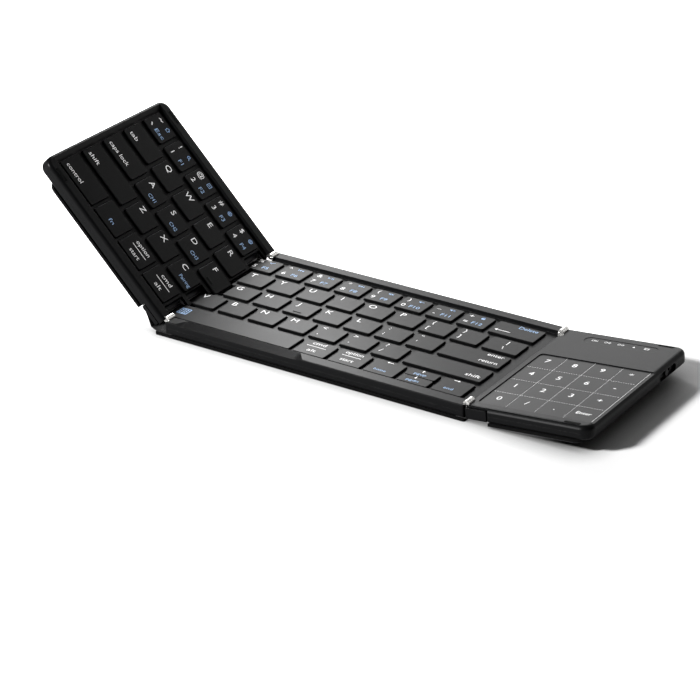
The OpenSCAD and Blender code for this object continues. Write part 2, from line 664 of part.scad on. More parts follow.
module right_bottom_shell() color(dark) at_right() difference() {
    intersection() {
        along_x(right_shell_start, right_len) lower_section();
        wing_solid(right_len, right_rim_round);
    }
    difference() {
        wing_cavity(right_shell_start - over, right_len - 1);
        for (x = [16, 54], y = [11, 36]) translate([x, y, shell_bottom])
            cylinder(r = 1.4, h = board_z - shell_bottom);
    }
    power_recess();
    socket_room();
}
module right_board() color(fabric) at_right() translate([0, 0, -axis_z]) linear_extrude(board_thick)
    free_end(right_board_start, right_board_start + right_board_len, board_depth/2, board_corner_r);
module touchpad_panel() color("#1c1d1f") at_right() translate([0, 0, pad_z - pad_thick])
    linear_extrude(pad_thick)
        rounded(pad_start + pad_gap, pad_end - pad_gap, pad_front + pad_gap, pad_rear - pad_gap, pad_corner);
board_z = flex_z - flex_thick/2 - main_board_thick;
main_board_end = right_cavity_end - 1.4;
main_board_front = 8;
battery_end = right_cavity_end - 3.4;
battery_front = -38;
module main_circuit_board() color("#1f5a38") at_right() box(main_board_end - main_board_len, main_board_end,
    main_board_front, socket_y, board_z, flex_z - flex_thick/2);
module battery() color("#9aa0a8") at_right() box(battery_end - battery_len, battery_end, battery_front,
    battery_front + battery_w, shell_floor, shell_floor + battery_thick);
module status_window() color("#1c1d1f") at_right() translate([status_x, status_y, pad_z - 0.8])
    linear_extrude(rim_top - status_recess - pad_z + 0.8)
        slot_2d(status_len - 2*pad_gap, status_w - 2*pad_gap);
module charging_socket() color(metal) at_right() difference() {
    box(socket_x, socket_x + socket_w, socket_y, half_d - 0.1, socket_z[0], socket_z[1]);
    box(socket_x + 0.3, socket_x + socket_w - 0.3, socket_y + 0.4, half_d + over, socket_z[0] + 0.3,
        socket_z[1] - 0.3);
}
module power_knob() color(dark) at_right() translate([0, power_y, power_z]) rotate([0, 90, 0]) {
    translate([0, 0, recess_x + 0.1]) cylinder(r = power_r, h = 0.9);
    translate([0, 0, right_cavity_end - 0.5]) cylinder(r = 0.6, h = recess_x - right_cavity_end + 0.7);
    translate([0, 0, right_cavity_end - 0.6]) cylinder(r = 1.1, h = 0.5);
}
module right_bumpers() color("#151515") at_right() rim_bumper_places(right_bumper_x) bumper();
module right_hinge_leaves() color(metal) at_right() hinge_leaf([1], [0, 2]);
module right_hinge_screws() color(metal) at_right() hinge_screws_2();
module right_spine_bar() color(dark) at_right() spine_bar(0.3, right_bar_end, -1.2, right_shell_start);

// ---------------------------------------------------------------- keys

// A raised bar near the front edge of a home key
module homing_bar(k) translate([(k[0] + k[1])/2, k[2] + 2.2, cap_top_z - 0.1]) linear_extrude(0.35)
    slot_2d(homing_len, 0.6);
module left_keys_of(keys) color(dark) at_left() key_caps(keys);
module middle_keys_of(keys) color(dark) at_middle() key_caps(keys);
module keys_one_to_four() left_keys_of(one_to_four);
module keys_qwer() left_keys_of(qwer);
module keys_asdf() {
    left_keys_of(asdf);
    color(dark) at_left() homing_bar(asdf[0]);
}
module keys_zxc() left_keys_of(zxc);
module key_escape() left_keys_of([escape]);
module key_tab() left_keys_of([tab]);
module key_caps_lock() left_keys_of([caps_lock]);
module key_shift_left() left_keys_of([shift_left]);
module key_control() left_keys_of([control]);
module key_function() left_keys_of([function_key]);
module key_option_left() left_keys_of([option_left]);
module key_command_left() left_keys_of([command_left]);
module keys_five_to_equals() middle_keys_of(five_to_equals);
module keys_t_to_backslash() middle_keys_of(concat(t_to_bracket, [backslash]));
module keys_g_to_quote() {
    middle_keys_of(g_to_quote);
    color(dark) at_middle() homing_bar(g_to_quote[2]);
}
module keys_v_to_slash() middle_keys_of(v_to_slash);
module key_delete() middle_keys_of([delete]);
module key_enter() middle_keys_of([enter]);
module key_shift_right() middle_keys_of([shift_right]);
module key_space() middle_keys_of([space]);
module key_command_right() middle_keys_of([command_right]);
module key_option_right() middle_keys_of([option_right]);
module key_arrow_left() middle_keys_of([arrow_left]);
module key_arrow_up() middle_keys_of([arrow_up]);
module key_arrow_down() middle_keys_of([arrow_down]);
module key_arrow_right() middle_keys_of([arrow_right]);

middle_top_frame();
middle_bottom_shell();
middle_board();
middle_support_plate();
middle_dome_sheet();
middle_hinge_leaves();
hinge_pins();
middle_hinge_screws();
spine_skin_left();
spine_skin_right();
flex_cable_left();
flex_cable_right();
left_top_frame();
left_bottom_shell();
left_board();
left_support_plate();
left_dome_sheet();
left_bumpers();
left_hinge_leaves();
left_hinge_screws();
left_spine_bar();
right_top_shell();
right_bottom_shell();
right_board();
touchpad_panel();
main_circuit_board();
battery();
status_window();
charging_socket();
power_knob();
right_bumpers();
right_hinge_leaves();
right_hinge_screws();
right_spine_bar();
keys_one_to_four();
keys_qwer();
keys_asdf();
keys_zxc();
key_escape();
key_tab();
key_caps_lock();
key_shift_left();
key_control();
key_function();
key_option_left();
key_command_left();
keys_five_to_equals();
keys_t_to_backslash();
keys_g_to_quote();
keys_v_to_slash();
key_delete();
key_enter();
key_shift_right();
key_space();
key_command_right();
key_option_right();
key_arrow_left();
key_arrow_up();
key_arrow_down();
key_arrow_right();
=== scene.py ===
"""A folding keyboard, half opened on a white table: plastics, cloth, nickel hinges and printed legends."""

import json
import math

import bmesh
import bpy
from mathutils import Matrix, Vector

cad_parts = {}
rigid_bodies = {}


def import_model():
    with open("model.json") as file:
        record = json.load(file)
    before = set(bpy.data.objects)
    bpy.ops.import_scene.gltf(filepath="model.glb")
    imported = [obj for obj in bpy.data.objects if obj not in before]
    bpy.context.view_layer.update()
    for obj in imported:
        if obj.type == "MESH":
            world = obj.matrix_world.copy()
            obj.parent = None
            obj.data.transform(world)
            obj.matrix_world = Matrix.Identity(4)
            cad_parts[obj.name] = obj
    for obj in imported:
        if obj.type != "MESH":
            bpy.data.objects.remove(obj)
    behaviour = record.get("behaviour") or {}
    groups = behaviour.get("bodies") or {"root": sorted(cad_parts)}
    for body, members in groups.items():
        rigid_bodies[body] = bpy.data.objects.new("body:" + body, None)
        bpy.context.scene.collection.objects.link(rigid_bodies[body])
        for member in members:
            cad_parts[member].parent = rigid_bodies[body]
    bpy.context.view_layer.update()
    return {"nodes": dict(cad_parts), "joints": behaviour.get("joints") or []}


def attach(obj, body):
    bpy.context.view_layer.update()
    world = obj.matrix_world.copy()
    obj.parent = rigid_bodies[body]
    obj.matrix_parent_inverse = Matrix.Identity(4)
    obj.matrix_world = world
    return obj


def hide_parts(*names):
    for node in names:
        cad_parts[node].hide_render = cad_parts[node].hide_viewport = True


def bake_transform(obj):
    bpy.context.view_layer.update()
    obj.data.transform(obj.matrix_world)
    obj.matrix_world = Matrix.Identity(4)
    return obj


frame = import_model()

MM = 0.001
JOINTS = {joint["name"]: joint for joint in frame["joints"]}
LEFT_AXIS = Vector(JOINTS["fold_left"]["pos_m"])
RIGHT_AXIS = Vector(JOINTS["fold_right"]["pos_m"])
LEFT_ANGLE = math.radians(-JOINTS["fold_left"]["range_deg"][0])
RIGHT_ANGLE = math.radians(-JOINTS["fold_right"]["range_deg"][0])


def add_object(name, data):
    """A new object in the scene."""
    thing = bpy.data.objects.new(name, data)
    bpy.context.scene.collection.objects.link(thing)
    return thing


# ---------------------------------------------------------------- camera

CAMERA_AZIMUTH = math.radians(32.555)
CAMERA_ELEVATION = math.radians(25.665)
CAMERA_DISTANCE = 1.19737
CAMERA_TARGET = Vector((0.00769, -0.02506, 0.007))
CAMERA_LENS = 139.04
CAMERA_SENSOR = 36
CAMERA_NEAR = 0.05
CAMERA_FAR = 20


def around(target, azimuth, elevation, distance):
    """A point round the target: azimuth 0 is in front of it, and it grows towards the right."""
    flat = math.cos(elevation)
    back = Vector((math.sin(azimuth) * flat, -math.cos(azimuth) * flat, math.sin(elevation)))
    return target + distance * back


def aim(thing, target):
    """Turns a camera or lamp to look at the target."""
    thing.rotation_euler = (target - thing.location).to_track_quat("-Z", "Y").to_euler()


def add_camera():
    """The photo's camera."""
    data = bpy.data.cameras.new("photo_camera")
    data.lens = CAMERA_LENS
    data.sensor_width = CAMERA_SENSOR
    data.clip_start = CAMERA_NEAR
    data.clip_end = CAMERA_FAR
    camera = add_object("photo_camera", data)
    camera.location = around(CAMERA_TARGET, CAMERA_AZIMUTH, CAMERA_ELEVATION, CAMERA_DISTANCE)
    aim(camera, CAMERA_TARGET)
    bpy.context.scene.camera = camera


# ---------------------------------------------------------------- shared surface effects

def new_group(name, inputs, outputs):
    """A shader node group with its sockets: each input is (name, kind, value), each output (name, kind)."""
    group = bpy.data.node_groups.new(name, "ShaderNodeTree")
    for label, kind, value in inputs:
        socket = group.interface.new_socket(label, in_out="INPUT", socket_type=kind)
        socket.default_value = value
    for label, kind in outputs:
        group.interface.new_socket(label, in_out="OUTPUT", socket_type=kind)
    return group, group.nodes.new("NodeGroupInput"), group.nodes.new("NodeGroupOutput")


def math_result(tree, operation, *inputs):
    """What a Math node makes of its inputs, each a socket or a number."""
    node = tree.nodes.new("ShaderNodeMath")
    node.operation = operation
    for socket, value in zip(node.inputs, inputs):
        if isinstance(value, bpy.types.NodeSocket):
            tree.links.new(value, socket)
        else:
            socket.default_value = value
    return node.outputs[0]


def mix_colours(group, factor, first, second):
    """A colour mix inside a group, fed by sockets."""
    mix = group.nodes.new("ShaderNodeMix")
    mix.data_type = "RGBA"
    group.links.new(factor, mix.inputs["Factor"])
    group.links.new(first, mix.inputs["A"])
    group.links.new(second, mix.inputs["B"])
    return mix.outputs["Result"]


def scaled_noise(group, coordinates, scale, detail, roughness):
    """Noise inside a group, with its scale fed by a socket."""
    noise = group.nodes.new("ShaderNodeTexNoise")
    noise.inputs["Detail"].default_value = detail
    noise.inputs["Roughness"].default_value = roughness
    group.links.new(coordinates, noise.inputs["Vector"])
    group.links.new(scale, noise.inputs["Scale"])
    return noise.outputs["Fac"]


def moulded_grain_group():
    """Spark-eroded plastic: fine pits in height, with slow drifts of colour and gloss over a moulding."""
    group, given, made = new_group(
        "moulded_grain",
        [("Colour", "NodeSocketColor", (0, 0, 0, 1)), ("Drift Colour", "NodeSocketColor", (0, 0, 0, 1)),
         ("Gloss", "NodeSocketFloat", 0.4), ("Gloss Drift", "NodeSocketFloat", 0.05),
         ("Pit Scale", "NodeSocketFloat", 5000), ("Drift Scale", "NodeSocketFloat", 40)],
        [("Colour", "NodeSocketColor"), ("Roughness", "NodeSocketFloat"), ("Height", "NodeSocketFloat")],
    )
    place = group.nodes.new("ShaderNodeTexCoord").outputs["Object"]
    pits = group.nodes.new("ShaderNodeTexVoronoi")
    pits.feature = "SMOOTH_F1"
    group.links.new(place, pits.inputs["Vector"])
    group.links.new(given.outputs["Pit Scale"], pits.inputs["Scale"])
    drift = scaled_noise(group, place, given.outputs["Drift Scale"], 4, 0.6)
    speck = scaled_noise(group, place, given.outputs["Pit Scale"], 2, 0.7)
    blended = mix_colours(group, drift, given.outputs["Colour"], given.outputs["Drift Colour"])
    centred = math_result(group, "SUBTRACT", drift, 0.5)
    gloss = math_result(group, "MULTIPLY_ADD", centred, given.outputs["Gloss Drift"], given.outputs["Gloss"])
    relief = math_result(group, "ADD", pits.outputs["Distance"], speck)
    group.links.new(blended, made.inputs["Colour"])
    group.links.new(gloss, made.inputs["Roughness"])
    group.links.new(relief, made.inputs["Height"])
    return group


def soft_edge_group():
    """Corners and arrises that come out of the mould a little rounded."""
    group, given, made = new_group(
        "soft_edges", [("Radius", "NodeSocketFloat", 0.0003)], [("Normal", "NodeSocketVector")]
    )
    rounder = group.nodes.new("ShaderNodeBevel")
    rounder.samples = 6
    group.links.new(given.outputs["Radius"], rounder.inputs["Radius"])
    group.links.new(rounder.outputs["Normal"], made.inputs["Normal"])
    return group


DEEP_ROUGHNESS = 0.9


def painted_deep_shade_group():
    """Painted shade: faces deep in a panel are made matt and darker, as shade falls there, and turn into the
    given finish between Deep and Clear.
    """
    group, given, made = new_group(
        "painted_deep_shade",
        [("Colour", "NodeSocketColor", (0, 0, 0, 1)), ("Deep Colour", "NodeSocketColor", (0, 0, 0, 1)),
         ("Roughness", "NodeSocketFloat", 0.4), ("Panel Normal", "NodeSocketVector", (0, 0, 1)),
         ("Deep", "NodeSocketFloat", 0), ("Clear", "NodeSocketFloat", 0.001)],
        [("Colour", "NodeSocketColor"), ("Roughness", "NodeSocketFloat")],
    )
    place = group.nodes.new("ShaderNodeTexCoord").outputs["Object"]
    height = group.nodes.new("ShaderNodeVectorMath")
    height.operation = "DOT_PRODUCT"
    group.links.new(place, height.inputs[0])
    group.links.new(given.outputs["Panel Normal"], height.inputs[1])
    clear = group.nodes.new("ShaderNodeMapRange")
    group.links.new(height.outputs["Value"], clear.inputs["Value"])
    group.links.new(given.outputs["Deep"], clear.inputs["From Min"])
    group.links.new(given.outputs["Clear"], clear.inputs["From Max"])
    clearness = clear.outputs["Result"]
    colour = mix_colours(group, clearness, given.outputs["Deep Colour"], given.outputs["Colour"])
    gloss = group.nodes.new("ShaderNodeMix")
    gloss.inputs["A"].default_value = DEEP_ROUGHNESS
    group.links.new(clearness, gloss.inputs["Factor"])
    group.links.new(given.outputs["Roughness"], gloss.inputs["B"])
    group.links.new(colour, made.inputs["Colour"])
    group.links.new(gloss.outputs["Result"], made.inputs["Roughness"])
    return group


WEAVE_WOBBLE = {"Distortion": 2.5, "Detail": 2, "Detail Scale": 1.5}
FLECK_LIMITS = (0.38, 0.64)


def heather_weave_group():
    """Plain-woven heather cloth: crossing threads in height, light and dark fibres in colour."""
    group, given, made = new_group(
        "heather_weave",
        [("Dark Fibre", "NodeSocketColor", (0, 0, 0, 1)), ("Light Fibre", "NodeSocketColor", (0, 0, 0, 1)),
         ("Thread Scale", "NodeSocketFloat", 1400), ("Fleck Scale", "NodeSocketFloat", 900)],
        [("Colour", "NodeSocketColor"), ("Height", "NodeSocketFloat")],
    )
    place = group.nodes.new("ShaderNodeTexCoord").outputs["Object"]
    threads = []
    for direction in ("X", "Y"):
        wave = group.nodes.new("ShaderNodeTexWave")
        wave.bands_direction = direction
        for label, value in WEAVE_WOBBLE.items():
            wave.inputs[label].default_value = value
        group.links.new(place, wave.inputs["Vector"])
        group.links.new(given.outputs["Thread Scale"], wave.inputs["Scale"])
        threads.append(wave.outputs["Fac"])
    crossing = math_result(group, "MAXIMUM", *threads)
    fleck = scaled_noise(group, place, given.outputs["Fleck Scale"], 3, 0.8)
    sharper = group.nodes.new("ShaderNodeMapRange")
    sharper.inputs["From Min"].default_value = FLECK_LIMITS[0]
    sharper.inputs["From Max"].default_value = FLECK_LIMITS[1]
    group.links.new(fleck, sharper.inputs["Value"])
    shade = math_result(group, "MULTIPLY", sharper.outputs["Result"], crossing)
    colour = mix_colours(group, shade, given.outputs["Dark Fibre"], given.outputs["Light Fibre"])
    group.links.new(colour, made.inputs["Colour"])
    group.links.new(crossing, made.inputs["Height"])
    return group


MOULDED_GRAIN = moulded_grain_group()
SOFT_EDGES = soft_edge_group()
PAINTED_SHADE_GROUP = painted_deep_shade_group()
HEATHER_WEAVE = heather_weave_group()


# ---------------------------------------------------------------- panels and their own frames

def panel_place(axis, reading, up_from_face, height):
    """The place of a panel's face: x along the reading direction, y to the rear, z off the face."""
    turn = Matrix((reading, (0, 1, 0), up_from_face)).transposed().to_4x4()
    return Matrix.Translation(axis) @ turn @ Matrix.Translation((0, 0, height * MM)) @ Matrix.Scale(MM, 4)


LEFT_READING = (math.cos(LEFT_ANGLE), 0, -math.sin(LEFT_ANGLE))
LEFT_NORMAL = (math.sin(LEFT_ANGLE), 0, math.cos(LEFT_ANGLE))
RIGHT_READING = (math.cos(RIGHT_ANGLE), 0, math.sin(RIGHT_ANGLE))
RIGHT_NORMAL = (-math.sin(RIGHT_ANGLE), 0, math.cos(RIGHT_ANGLE))
KEY_TOP = -0.8
PAD_TOP = -0.5
LENS_TOP = -0.25
INK_LIFT = 0.012
ON_MIDDLE = panel_place(LEFT_AXIS, (1, 0, 0), (0, 0, 1), KEY_TOP + INK_LIFT)
ON_LEFT = panel_place(LEFT_AXIS, LEFT_READING, LEFT_NORMAL, KEY_TOP + INK_LIFT)
ON_PAD = panel_place(RIGHT_AXIS, RIGHT_READING, RIGHT_NORMAL, PAD_TOP + INK_LIFT)
ON_LENS = panel_place(RIGHT_AXIS, RIGHT_READING, RIGHT_NORMAL, LENS_TOP + INK_LIFT)


# ---------------------------------------------------------------- materials

def start_material(name, **plain):
    """A material with its Principled shader; plain values go on the shader's own sockets."""
    material = bpy.data.materials.new(name)
    material.use_nodes = True
    shader = material.node_tree.nodes["Principled BSDF"]
    for socket, value in plain.items():
        shader.inputs[socket.replace("_", " ")].default_value = value
    return material, material.node_tree, shader


def place_group(tree, group, **values):
    """A copy of a shared effect in a material, with its own values."""
    node = tree.nodes.new("ShaderNodeGroup")
    node.node_tree = group
    for socket, value in values.items():
        node.inputs[socket.replace("_", " ")].default_value = value
    return node


def add_relief(tree, shader, height, depth, edge_radius):
    """Bump from a height, over edges rounded by the given radius."""
    bump = tree.nodes.new("ShaderNodeBump")
    bump.inputs["Distance"].default_value = depth
    tree.links.new(height, bump.inputs["Height"])
    if edge_radius:
        edges = place_group(tree, SOFT_EDGES, Radius=edge_radius)
        tree.links.new(edges.outputs["Normal"], bump.inputs["Normal"])
    tree.links.new(bump.outputs["Normal"], shader.inputs["Normal"])


def paint_deep_shade(tree, panel, limits, **values):
    """The painted deep shade on a panel; limits are the heights of Deep and Clear over its axis, in mm."""
    axis, normal = panel
    level = axis.dot(Vector(normal))
    deep, clear = (level + limit * MM for limit in limits)
    return place_group(tree, PAINTED_SHADE_GROUP, Deep_Colour=(*PAINTED_SHADE_BLACK, 1), Panel_Normal=normal, Deep=deep,
                       Clear=clear, **values)


def plastic(name, colour, drift, gloss, gloss_drift=0.06, pit=4200, depth=0.000006, edge=0.0004,
            panel=None, **plain):
    """Moulded plastic, rubber or metal with its grain and soft edges; on a key, painted shade makes the sides
    matt and dark.
    """
    material, tree, shader = start_material(name, **plain)
    grain = place_group(tree, MOULDED_GRAIN, Colour=(*colour, 1), Drift_Colour=(*drift, 1), Gloss=gloss,
                        Gloss_Drift=gloss_drift, Pit_Scale=pit)
    surface = grain
    if panel:
        surface = paint_deep_shade(tree, panel, CAP_SHADE_LIMITS)
        tree.links.new(grain.outputs["Colour"], surface.inputs["Colour"])
        tree.links.new(grain.outputs["Roughness"], surface.inputs["Roughness"])
    tree.links.new(surface.outputs["Colour"], shader.inputs["Base Color"])
    tree.links.new(surface.outputs["Roughness"], shader.inputs["Roughness"])
    add_relief(tree, shader, grain.outputs["Height"], depth, edge)
    return material


def cloth(name, dark, light, thread, fleck, depth=0.00005, panel=None, **plain):
    """Woven cloth from the shared weave; on a panel's board all but the underside is painted black, as shade
    under the shell.
    """
    material, tree, shader = start_material(name, **plain)
    weave = place_group(tree, HEATHER_WEAVE, Dark_Fibre=(*dark, 1), Light_Fibre=(*light, 1),
                        Thread_Scale=thread, Fleck_Scale=fleck)
    surface = weave
    if panel:
        surface = paint_deep_shade(tree, panel, BOARD_SHADE_LIMITS, Roughness=DEEP_ROUGHNESS)
        tree.links.new(weave.outputs["Colour"], surface.inputs["Colour"])
    tree.links.new(surface.outputs["Colour"], shader.inputs["Base Color"])
    add_relief(tree, shader, weave.outputs["Height"], depth, 0)
    return material


def printing_ink(name, colour, glow):
    """Pad-printed ink, a little uneven over the grain, with a painted glow that keeps it bright in the shade.
    """
    material, tree, shader = start_material(name, Emission_Strength=glow, Specular_IOR_Level=0.2)
    thin = [value * 0.9 for value in colour]
    grain = place_group(tree, MOULDED_GRAIN, Colour=(*colour, 1), Drift_Colour=(*thin, 1),
                        Gloss=0.5, Gloss_Drift=0.1, Pit_Scale=3000, Drift_Scale=400)
    tree.links.new(grain.outputs["Colour"], shader.inputs["Base Color"])
    tree.links.new(grain.outputs["Colour"], shader.inputs["Emission Color"])
    tree.links.new(grain.outputs["Roughness"], shader.inputs["Roughness"])
    return material


LOW_GLOSS = {"Specular_IOR_Level": 0.08}
# painted shade: the black that the deep-shade mask puts on key sides and board edges
PAINTED_SHADE_BLACK = (0.0015, 0.0015, 0.0016)
MIDDLE_FACE = (LEFT_AXIS, (0, 0, 1))
LEFT_FACE = (LEFT_AXIS, LEFT_NORMAL)
RIGHT_FACE = (RIGHT_AXIS, RIGHT_NORMAL)
SATIN_BLACK = ((0.004, 0.0041, 0.0044), (0.003, 0.0031, 0.0034))
# painted shade: a key's sides, below these heights in mm over its panel's axis, are painted dark and matt
CAP_SHADE_LIMITS = (-1.05, -0.9)
PANEL_PLASTIC = plastic("panel_plastic", *SATIN_BLACK, 0.35, edge=0.00015, **LOW_GLOSS)
KEY_PLASTIC = plastic("key_plastic", *SATIN_BLACK, 0.34, edge=0.0001, panel=MIDDLE_FACE, **LOW_GLOSS)
LEFT_KEY_PLASTIC = plastic("left_key_plastic", *SATIN_BLACK, 0.34, edge=0.0001, panel=LEFT_FACE, **LOW_GLOSS)
PAD_SURFACE = plastic("touch_surface", (0.006, 0.0061, 0.0065), (0.005, 0.0051, 0.0054), 0.38, depth=0.000002,
                      edge=0.0002, Specular_IOR_Level=0.12)
STATUS_LENS = plastic("status_lens", (0.0075, 0.0076, 0.008), (0.0065, 0.0066, 0.007), 0.36, depth=0.000001,
                      edge=0.0002, **LOW_GLOSS)
BUMPER_RUBBER = plastic("bumper_rubber", (0.004, 0.004, 0.0042), (0.003, 0.003, 0.0032), 0.6,
                        pit=2500, depth=0.00001, edge=0.0001, Specular_IOR_Level=0.03)
DOME_RUBBER = plastic("dome_rubber", (0.05, 0.05, 0.052), (0.035, 0.035, 0.037), 0.6, pit=2500,
                      Specular_IOR_Level=0.3)
PLATE_STEEL = plastic("plate_steel", (0.55, 0.55, 0.54), (0.42, 0.42, 0.41), 0.38, pit=1500, depth=0.000004,
                      edge=0, Metallic=1.0)
NICKEL = plastic("brushed_nickel", (0.78, 0.77, 0.75), (0.62, 0.61, 0.59), 0.26, gloss_drift=0.25, pit=2600,
                 depth=0.000004, edge=0.0002, Metallic=1.0)
BOARD_LACQUER = plastic("board_lacquer", (0.006, 0.06, 0.02), (0.004, 0.04, 0.014), 0.35, pit=900,
                        depth=0.00001, edge=0, Specular_IOR_Level=0.4)
CELL_FOIL = plastic("cell_foil", (0.45, 0.46, 0.48), (0.3, 0.31, 0.33), 0.42, pit=500, depth=0.00004,
                    edge=0.0004, Metallic=0.8)
FLEX_FILM = plastic("flex_film", (0.012, 0.009, 0.006), (0.008, 0.006, 0.004), 0.4, pit=600, depth=0.000004,
                    edge=0, Specular_IOR_Level=0.4)
# painted shade: above these heights, in mm over the panel's axis, the board is painted black; only its
# underside keeps the cloth
BOARD_SHADE_LIMITS = (-7.6, -7.75)
BOARD_WEAVE = ((0.018, 0.018, 0.0185), (0.085, 0.085, 0.087), 1250, 1500)
BOARD_FINISH = {"Roughness": 0.9, "Specular_IOR_Level": 0.1}
MIDDLE_CLOTH = cloth("middle_cloth", *BOARD_WEAVE, panel=MIDDLE_FACE, **BOARD_FINISH)
LEFT_CLOTH = cloth("left_cloth", *BOARD_WEAVE, panel=LEFT_FACE, **BOARD_FINISH)
RIGHT_CLOTH = cloth("right_cloth", *BOARD_WEAVE, panel=RIGHT_FACE, **BOARD_FINISH)
SPINE_CLOTH = cloth("spine_cloth", (0.004, 0.004, 0.0042), (0.015, 0.015, 0.016), 1600, 1100,
                    Roughness=0.8, Specular_IOR_Level=0.2, Sheen_Weight=0.15, Sheen_Roughness=0.5)
# painted light: the inks glow by their last number
WHITE_INK = printing_ink("white_ink", (0.86, 0.86, 0.86), 0.45)
BLUE_INK = printing_ink("blue_ink", (0.30, 0.45, 0.68), 0.35)

LEFT_KEYS = [joint["child"] for joint in frame["joints"]
             if joint["name"].startswith("press_") and joint["parent"] == "left_wing"]
FINISHES = {
    PANEL_PLASTIC: ["middle_top_frame", "middle_bottom_shell", "left_top_frame", "left_bottom_shell",
                    "left_spine_bar", "right_top_shell", "right_bottom_shell", "right_spine_bar",
                    "power_knob"],
    PAD_SURFACE: ["touchpad_panel"],
    STATUS_LENS: ["status_window"],
    BUMPER_RUBBER: ["left_bumpers", "right_bumpers"],
    DOME_RUBBER: ["middle_dome_sheet", "left_dome_sheet"],
    PLATE_STEEL: ["middle_support_plate", "left_support_plate", "charging_socket", "hinge_pins"],
    NICKEL: ["middle_hinge_leaves", "left_hinge_leaves", "right_hinge_leaves", "middle_hinge_screws",
             "left_hinge_screws", "right_hinge_screws"],
    BOARD_LACQUER: ["main_circuit_board"],
    CELL_FOIL: ["battery"],
    FLEX_FILM: ["flex_cable_left", "flex_cable_right"],
    MIDDLE_CLOTH: ["middle_board"],
    LEFT_CLOTH: ["left_board"],
    RIGHT_CLOTH: ["right_board"],
    SPINE_CLOTH: ["spine_skin_left", "spine_skin_right"],
    KEY_PLASTIC: [name for name in frame["nodes"] if name.startswith("key") and name not in LEFT_KEYS],
    LEFT_KEY_PLASTIC: LEFT_KEYS,
}


def dress_nodes():
    """Gives each solid its finish."""
    for material, names in FINISHES.items():
        for name in names:
            slots = frame["nodes"][name].data.materials
            slots.clear()
            slots.append(material)


# ---------------------------------------------------------------- printing: words, strokes and filled shapes

INK_HALF = 0.02
LETTER_WEIGHT = -0.004
LETTER_STRETCH = 1.15
WORD_SHAPES = {}


def word_shape(word):
    """The word as (vertices, faces), with a cap height of 1, centred sideways, its foot on y 0."""
    if word not in WORD_SHAPES:
        curve = bpy.data.curves.new("letters", "FONT")
        curve.body = word
        curve.align_x = "CENTER"
        curve.offset = LETTER_WEIGHT
        curve.extrude = 1
        curve.resolution_u = 3
        letters = add_object("letters", curve)
        seen = letters.evaluated_get(bpy.context.evaluated_depsgraph_get())
        mesh = bpy.data.meshes.new_from_object(seen)
        points = [vertex.co.copy() for vertex in mesh.vertices]
        WORD_SHAPES[word] = (points, [tuple(face.vertices) for face in mesh.polygons])
        bpy.data.objects.remove(letters)
        bpy.data.meshes.remove(mesh)
    return WORD_SHAPES[word]


CAP_RATIO = max(point.y for point in word_shape("H")[0])


class Sheet:
    """The ink of one colour that rides on one moving piece, gathered into one mesh."""

    def __init__(self, name, body, ink, place):
        """An empty sheet; place is the face that it lies on."""
        self.name, self.body, self.ink, self.place = name, body, ink, place
        self.shape = bmesh.new()

    def lay(self, points, faces):
        """Adds a shape whose z runs from -1 to 1, in millimetres on the face."""
        corners = [self.shape.verts.new(self.place @ Vector((p[0], p[1], p[2] * INK_HALF))) for p in points]
        for face in faces:
            self.shape.faces.new([corners[i] for i in face])

    def word(self, word, x, y, height, width=None, from_left=False):
        """A word centred on (x, y), or starting at x; its width may be given."""
        points, faces = word_shape(word)
        tall = height / CAP_RATIO
        low, high = min(p.x for p in points), max(p.x for p in points)
        wide = width / (high - low) if width else tall * LETTER_STRETCH
        start = low if from_left else (low + high) / 2
        self.lay([(x + (p.x - start) * wide, y - height / 2 + p.y * tall, p.z) for p in points], faces)

    def shape_of(self, outline):
        """A filled shape from its outline, counter-clockwise."""
        count = len(outline)
        points = [(*p, 1) for p in outline] + [(*p, -1) for p in outline]
        sides = [(i, i + count, (i + 1) % count + count, (i + 1) % count) for i in range(count)]
        self.lay(points, [tuple(range(count)), tuple(range(2 * count - 1, count - 1, -1))] + sides)

    def line(self, ends, width):
        """A straight stroke between two points."""
        start, stop = Vector(ends[0]), Vector(ends[1])
        along = (stop - start).normalized() * width / 2
        across = Vector((-along.y, along.x))
        near, far = start - along, stop + along
        self.shape_of([tuple(p) for p in (near - across, far - across, far + across, near + across)])

    def path(self, points, width, closed=False):
        """Strokes from point to point."""
        for first, second in zip(points, points[1:] + points[:1] if closed else points[1:]):
            self.line((first, second), width)

    def ring(self, x, y, radius, width, start=0, turn=360, sides=14):
        """A round stroke, or a part of one."""
        steps = max(3, round(sides * turn / 360))
        angles = [math.radians(start + turn * i / steps) for i in range(steps + 1)]
        self.path([(x + radius * math.cos(a), y + radius * math.sin(a)) for a in angles], width)

    def finish(self):
        """Makes the piece and lets it ride on its body."""
        mesh = bpy.data.meshes.new(self.name)
        bmesh.ops.recalc_face_normals(self.shape, faces=self.shape.faces)
        self.shape.to_mesh(mesh)
        self.shape.free()
        mesh.materials.append(self.ink)
        piece = add_object(self.name, mesh)
        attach(piece, self.body)


SHEETS = {}


def sheet_of(body, ink, place):
    """The sheet for this body and ink, made when it is first asked for."""
    key = (body, ink.name)
    if key not in SHEETS:
        colour = "blue" if ink == BLUE_INK else "white"
        SHEETS[key] = Sheet(f"{colour}_print_{body}", body, ink, place)
    return SHEETS[key]


# ---------------------------------------------------------------- small signs, s is half their height in mm

SIGN_LINE = 0.28


def sign_house(sheet, x, y, s):
    """A house, for the home page."""
    sheet.path([(x - s, y), (x, y + s), (x + s, y)], SIGN_LINE)
    sheet.path([(x - 0.7 * s, y), (x - 0.7 * s, y - s), (x + 0.7 * s, y - s), (x + 0.7 * s, y)], SIGN_LINE)


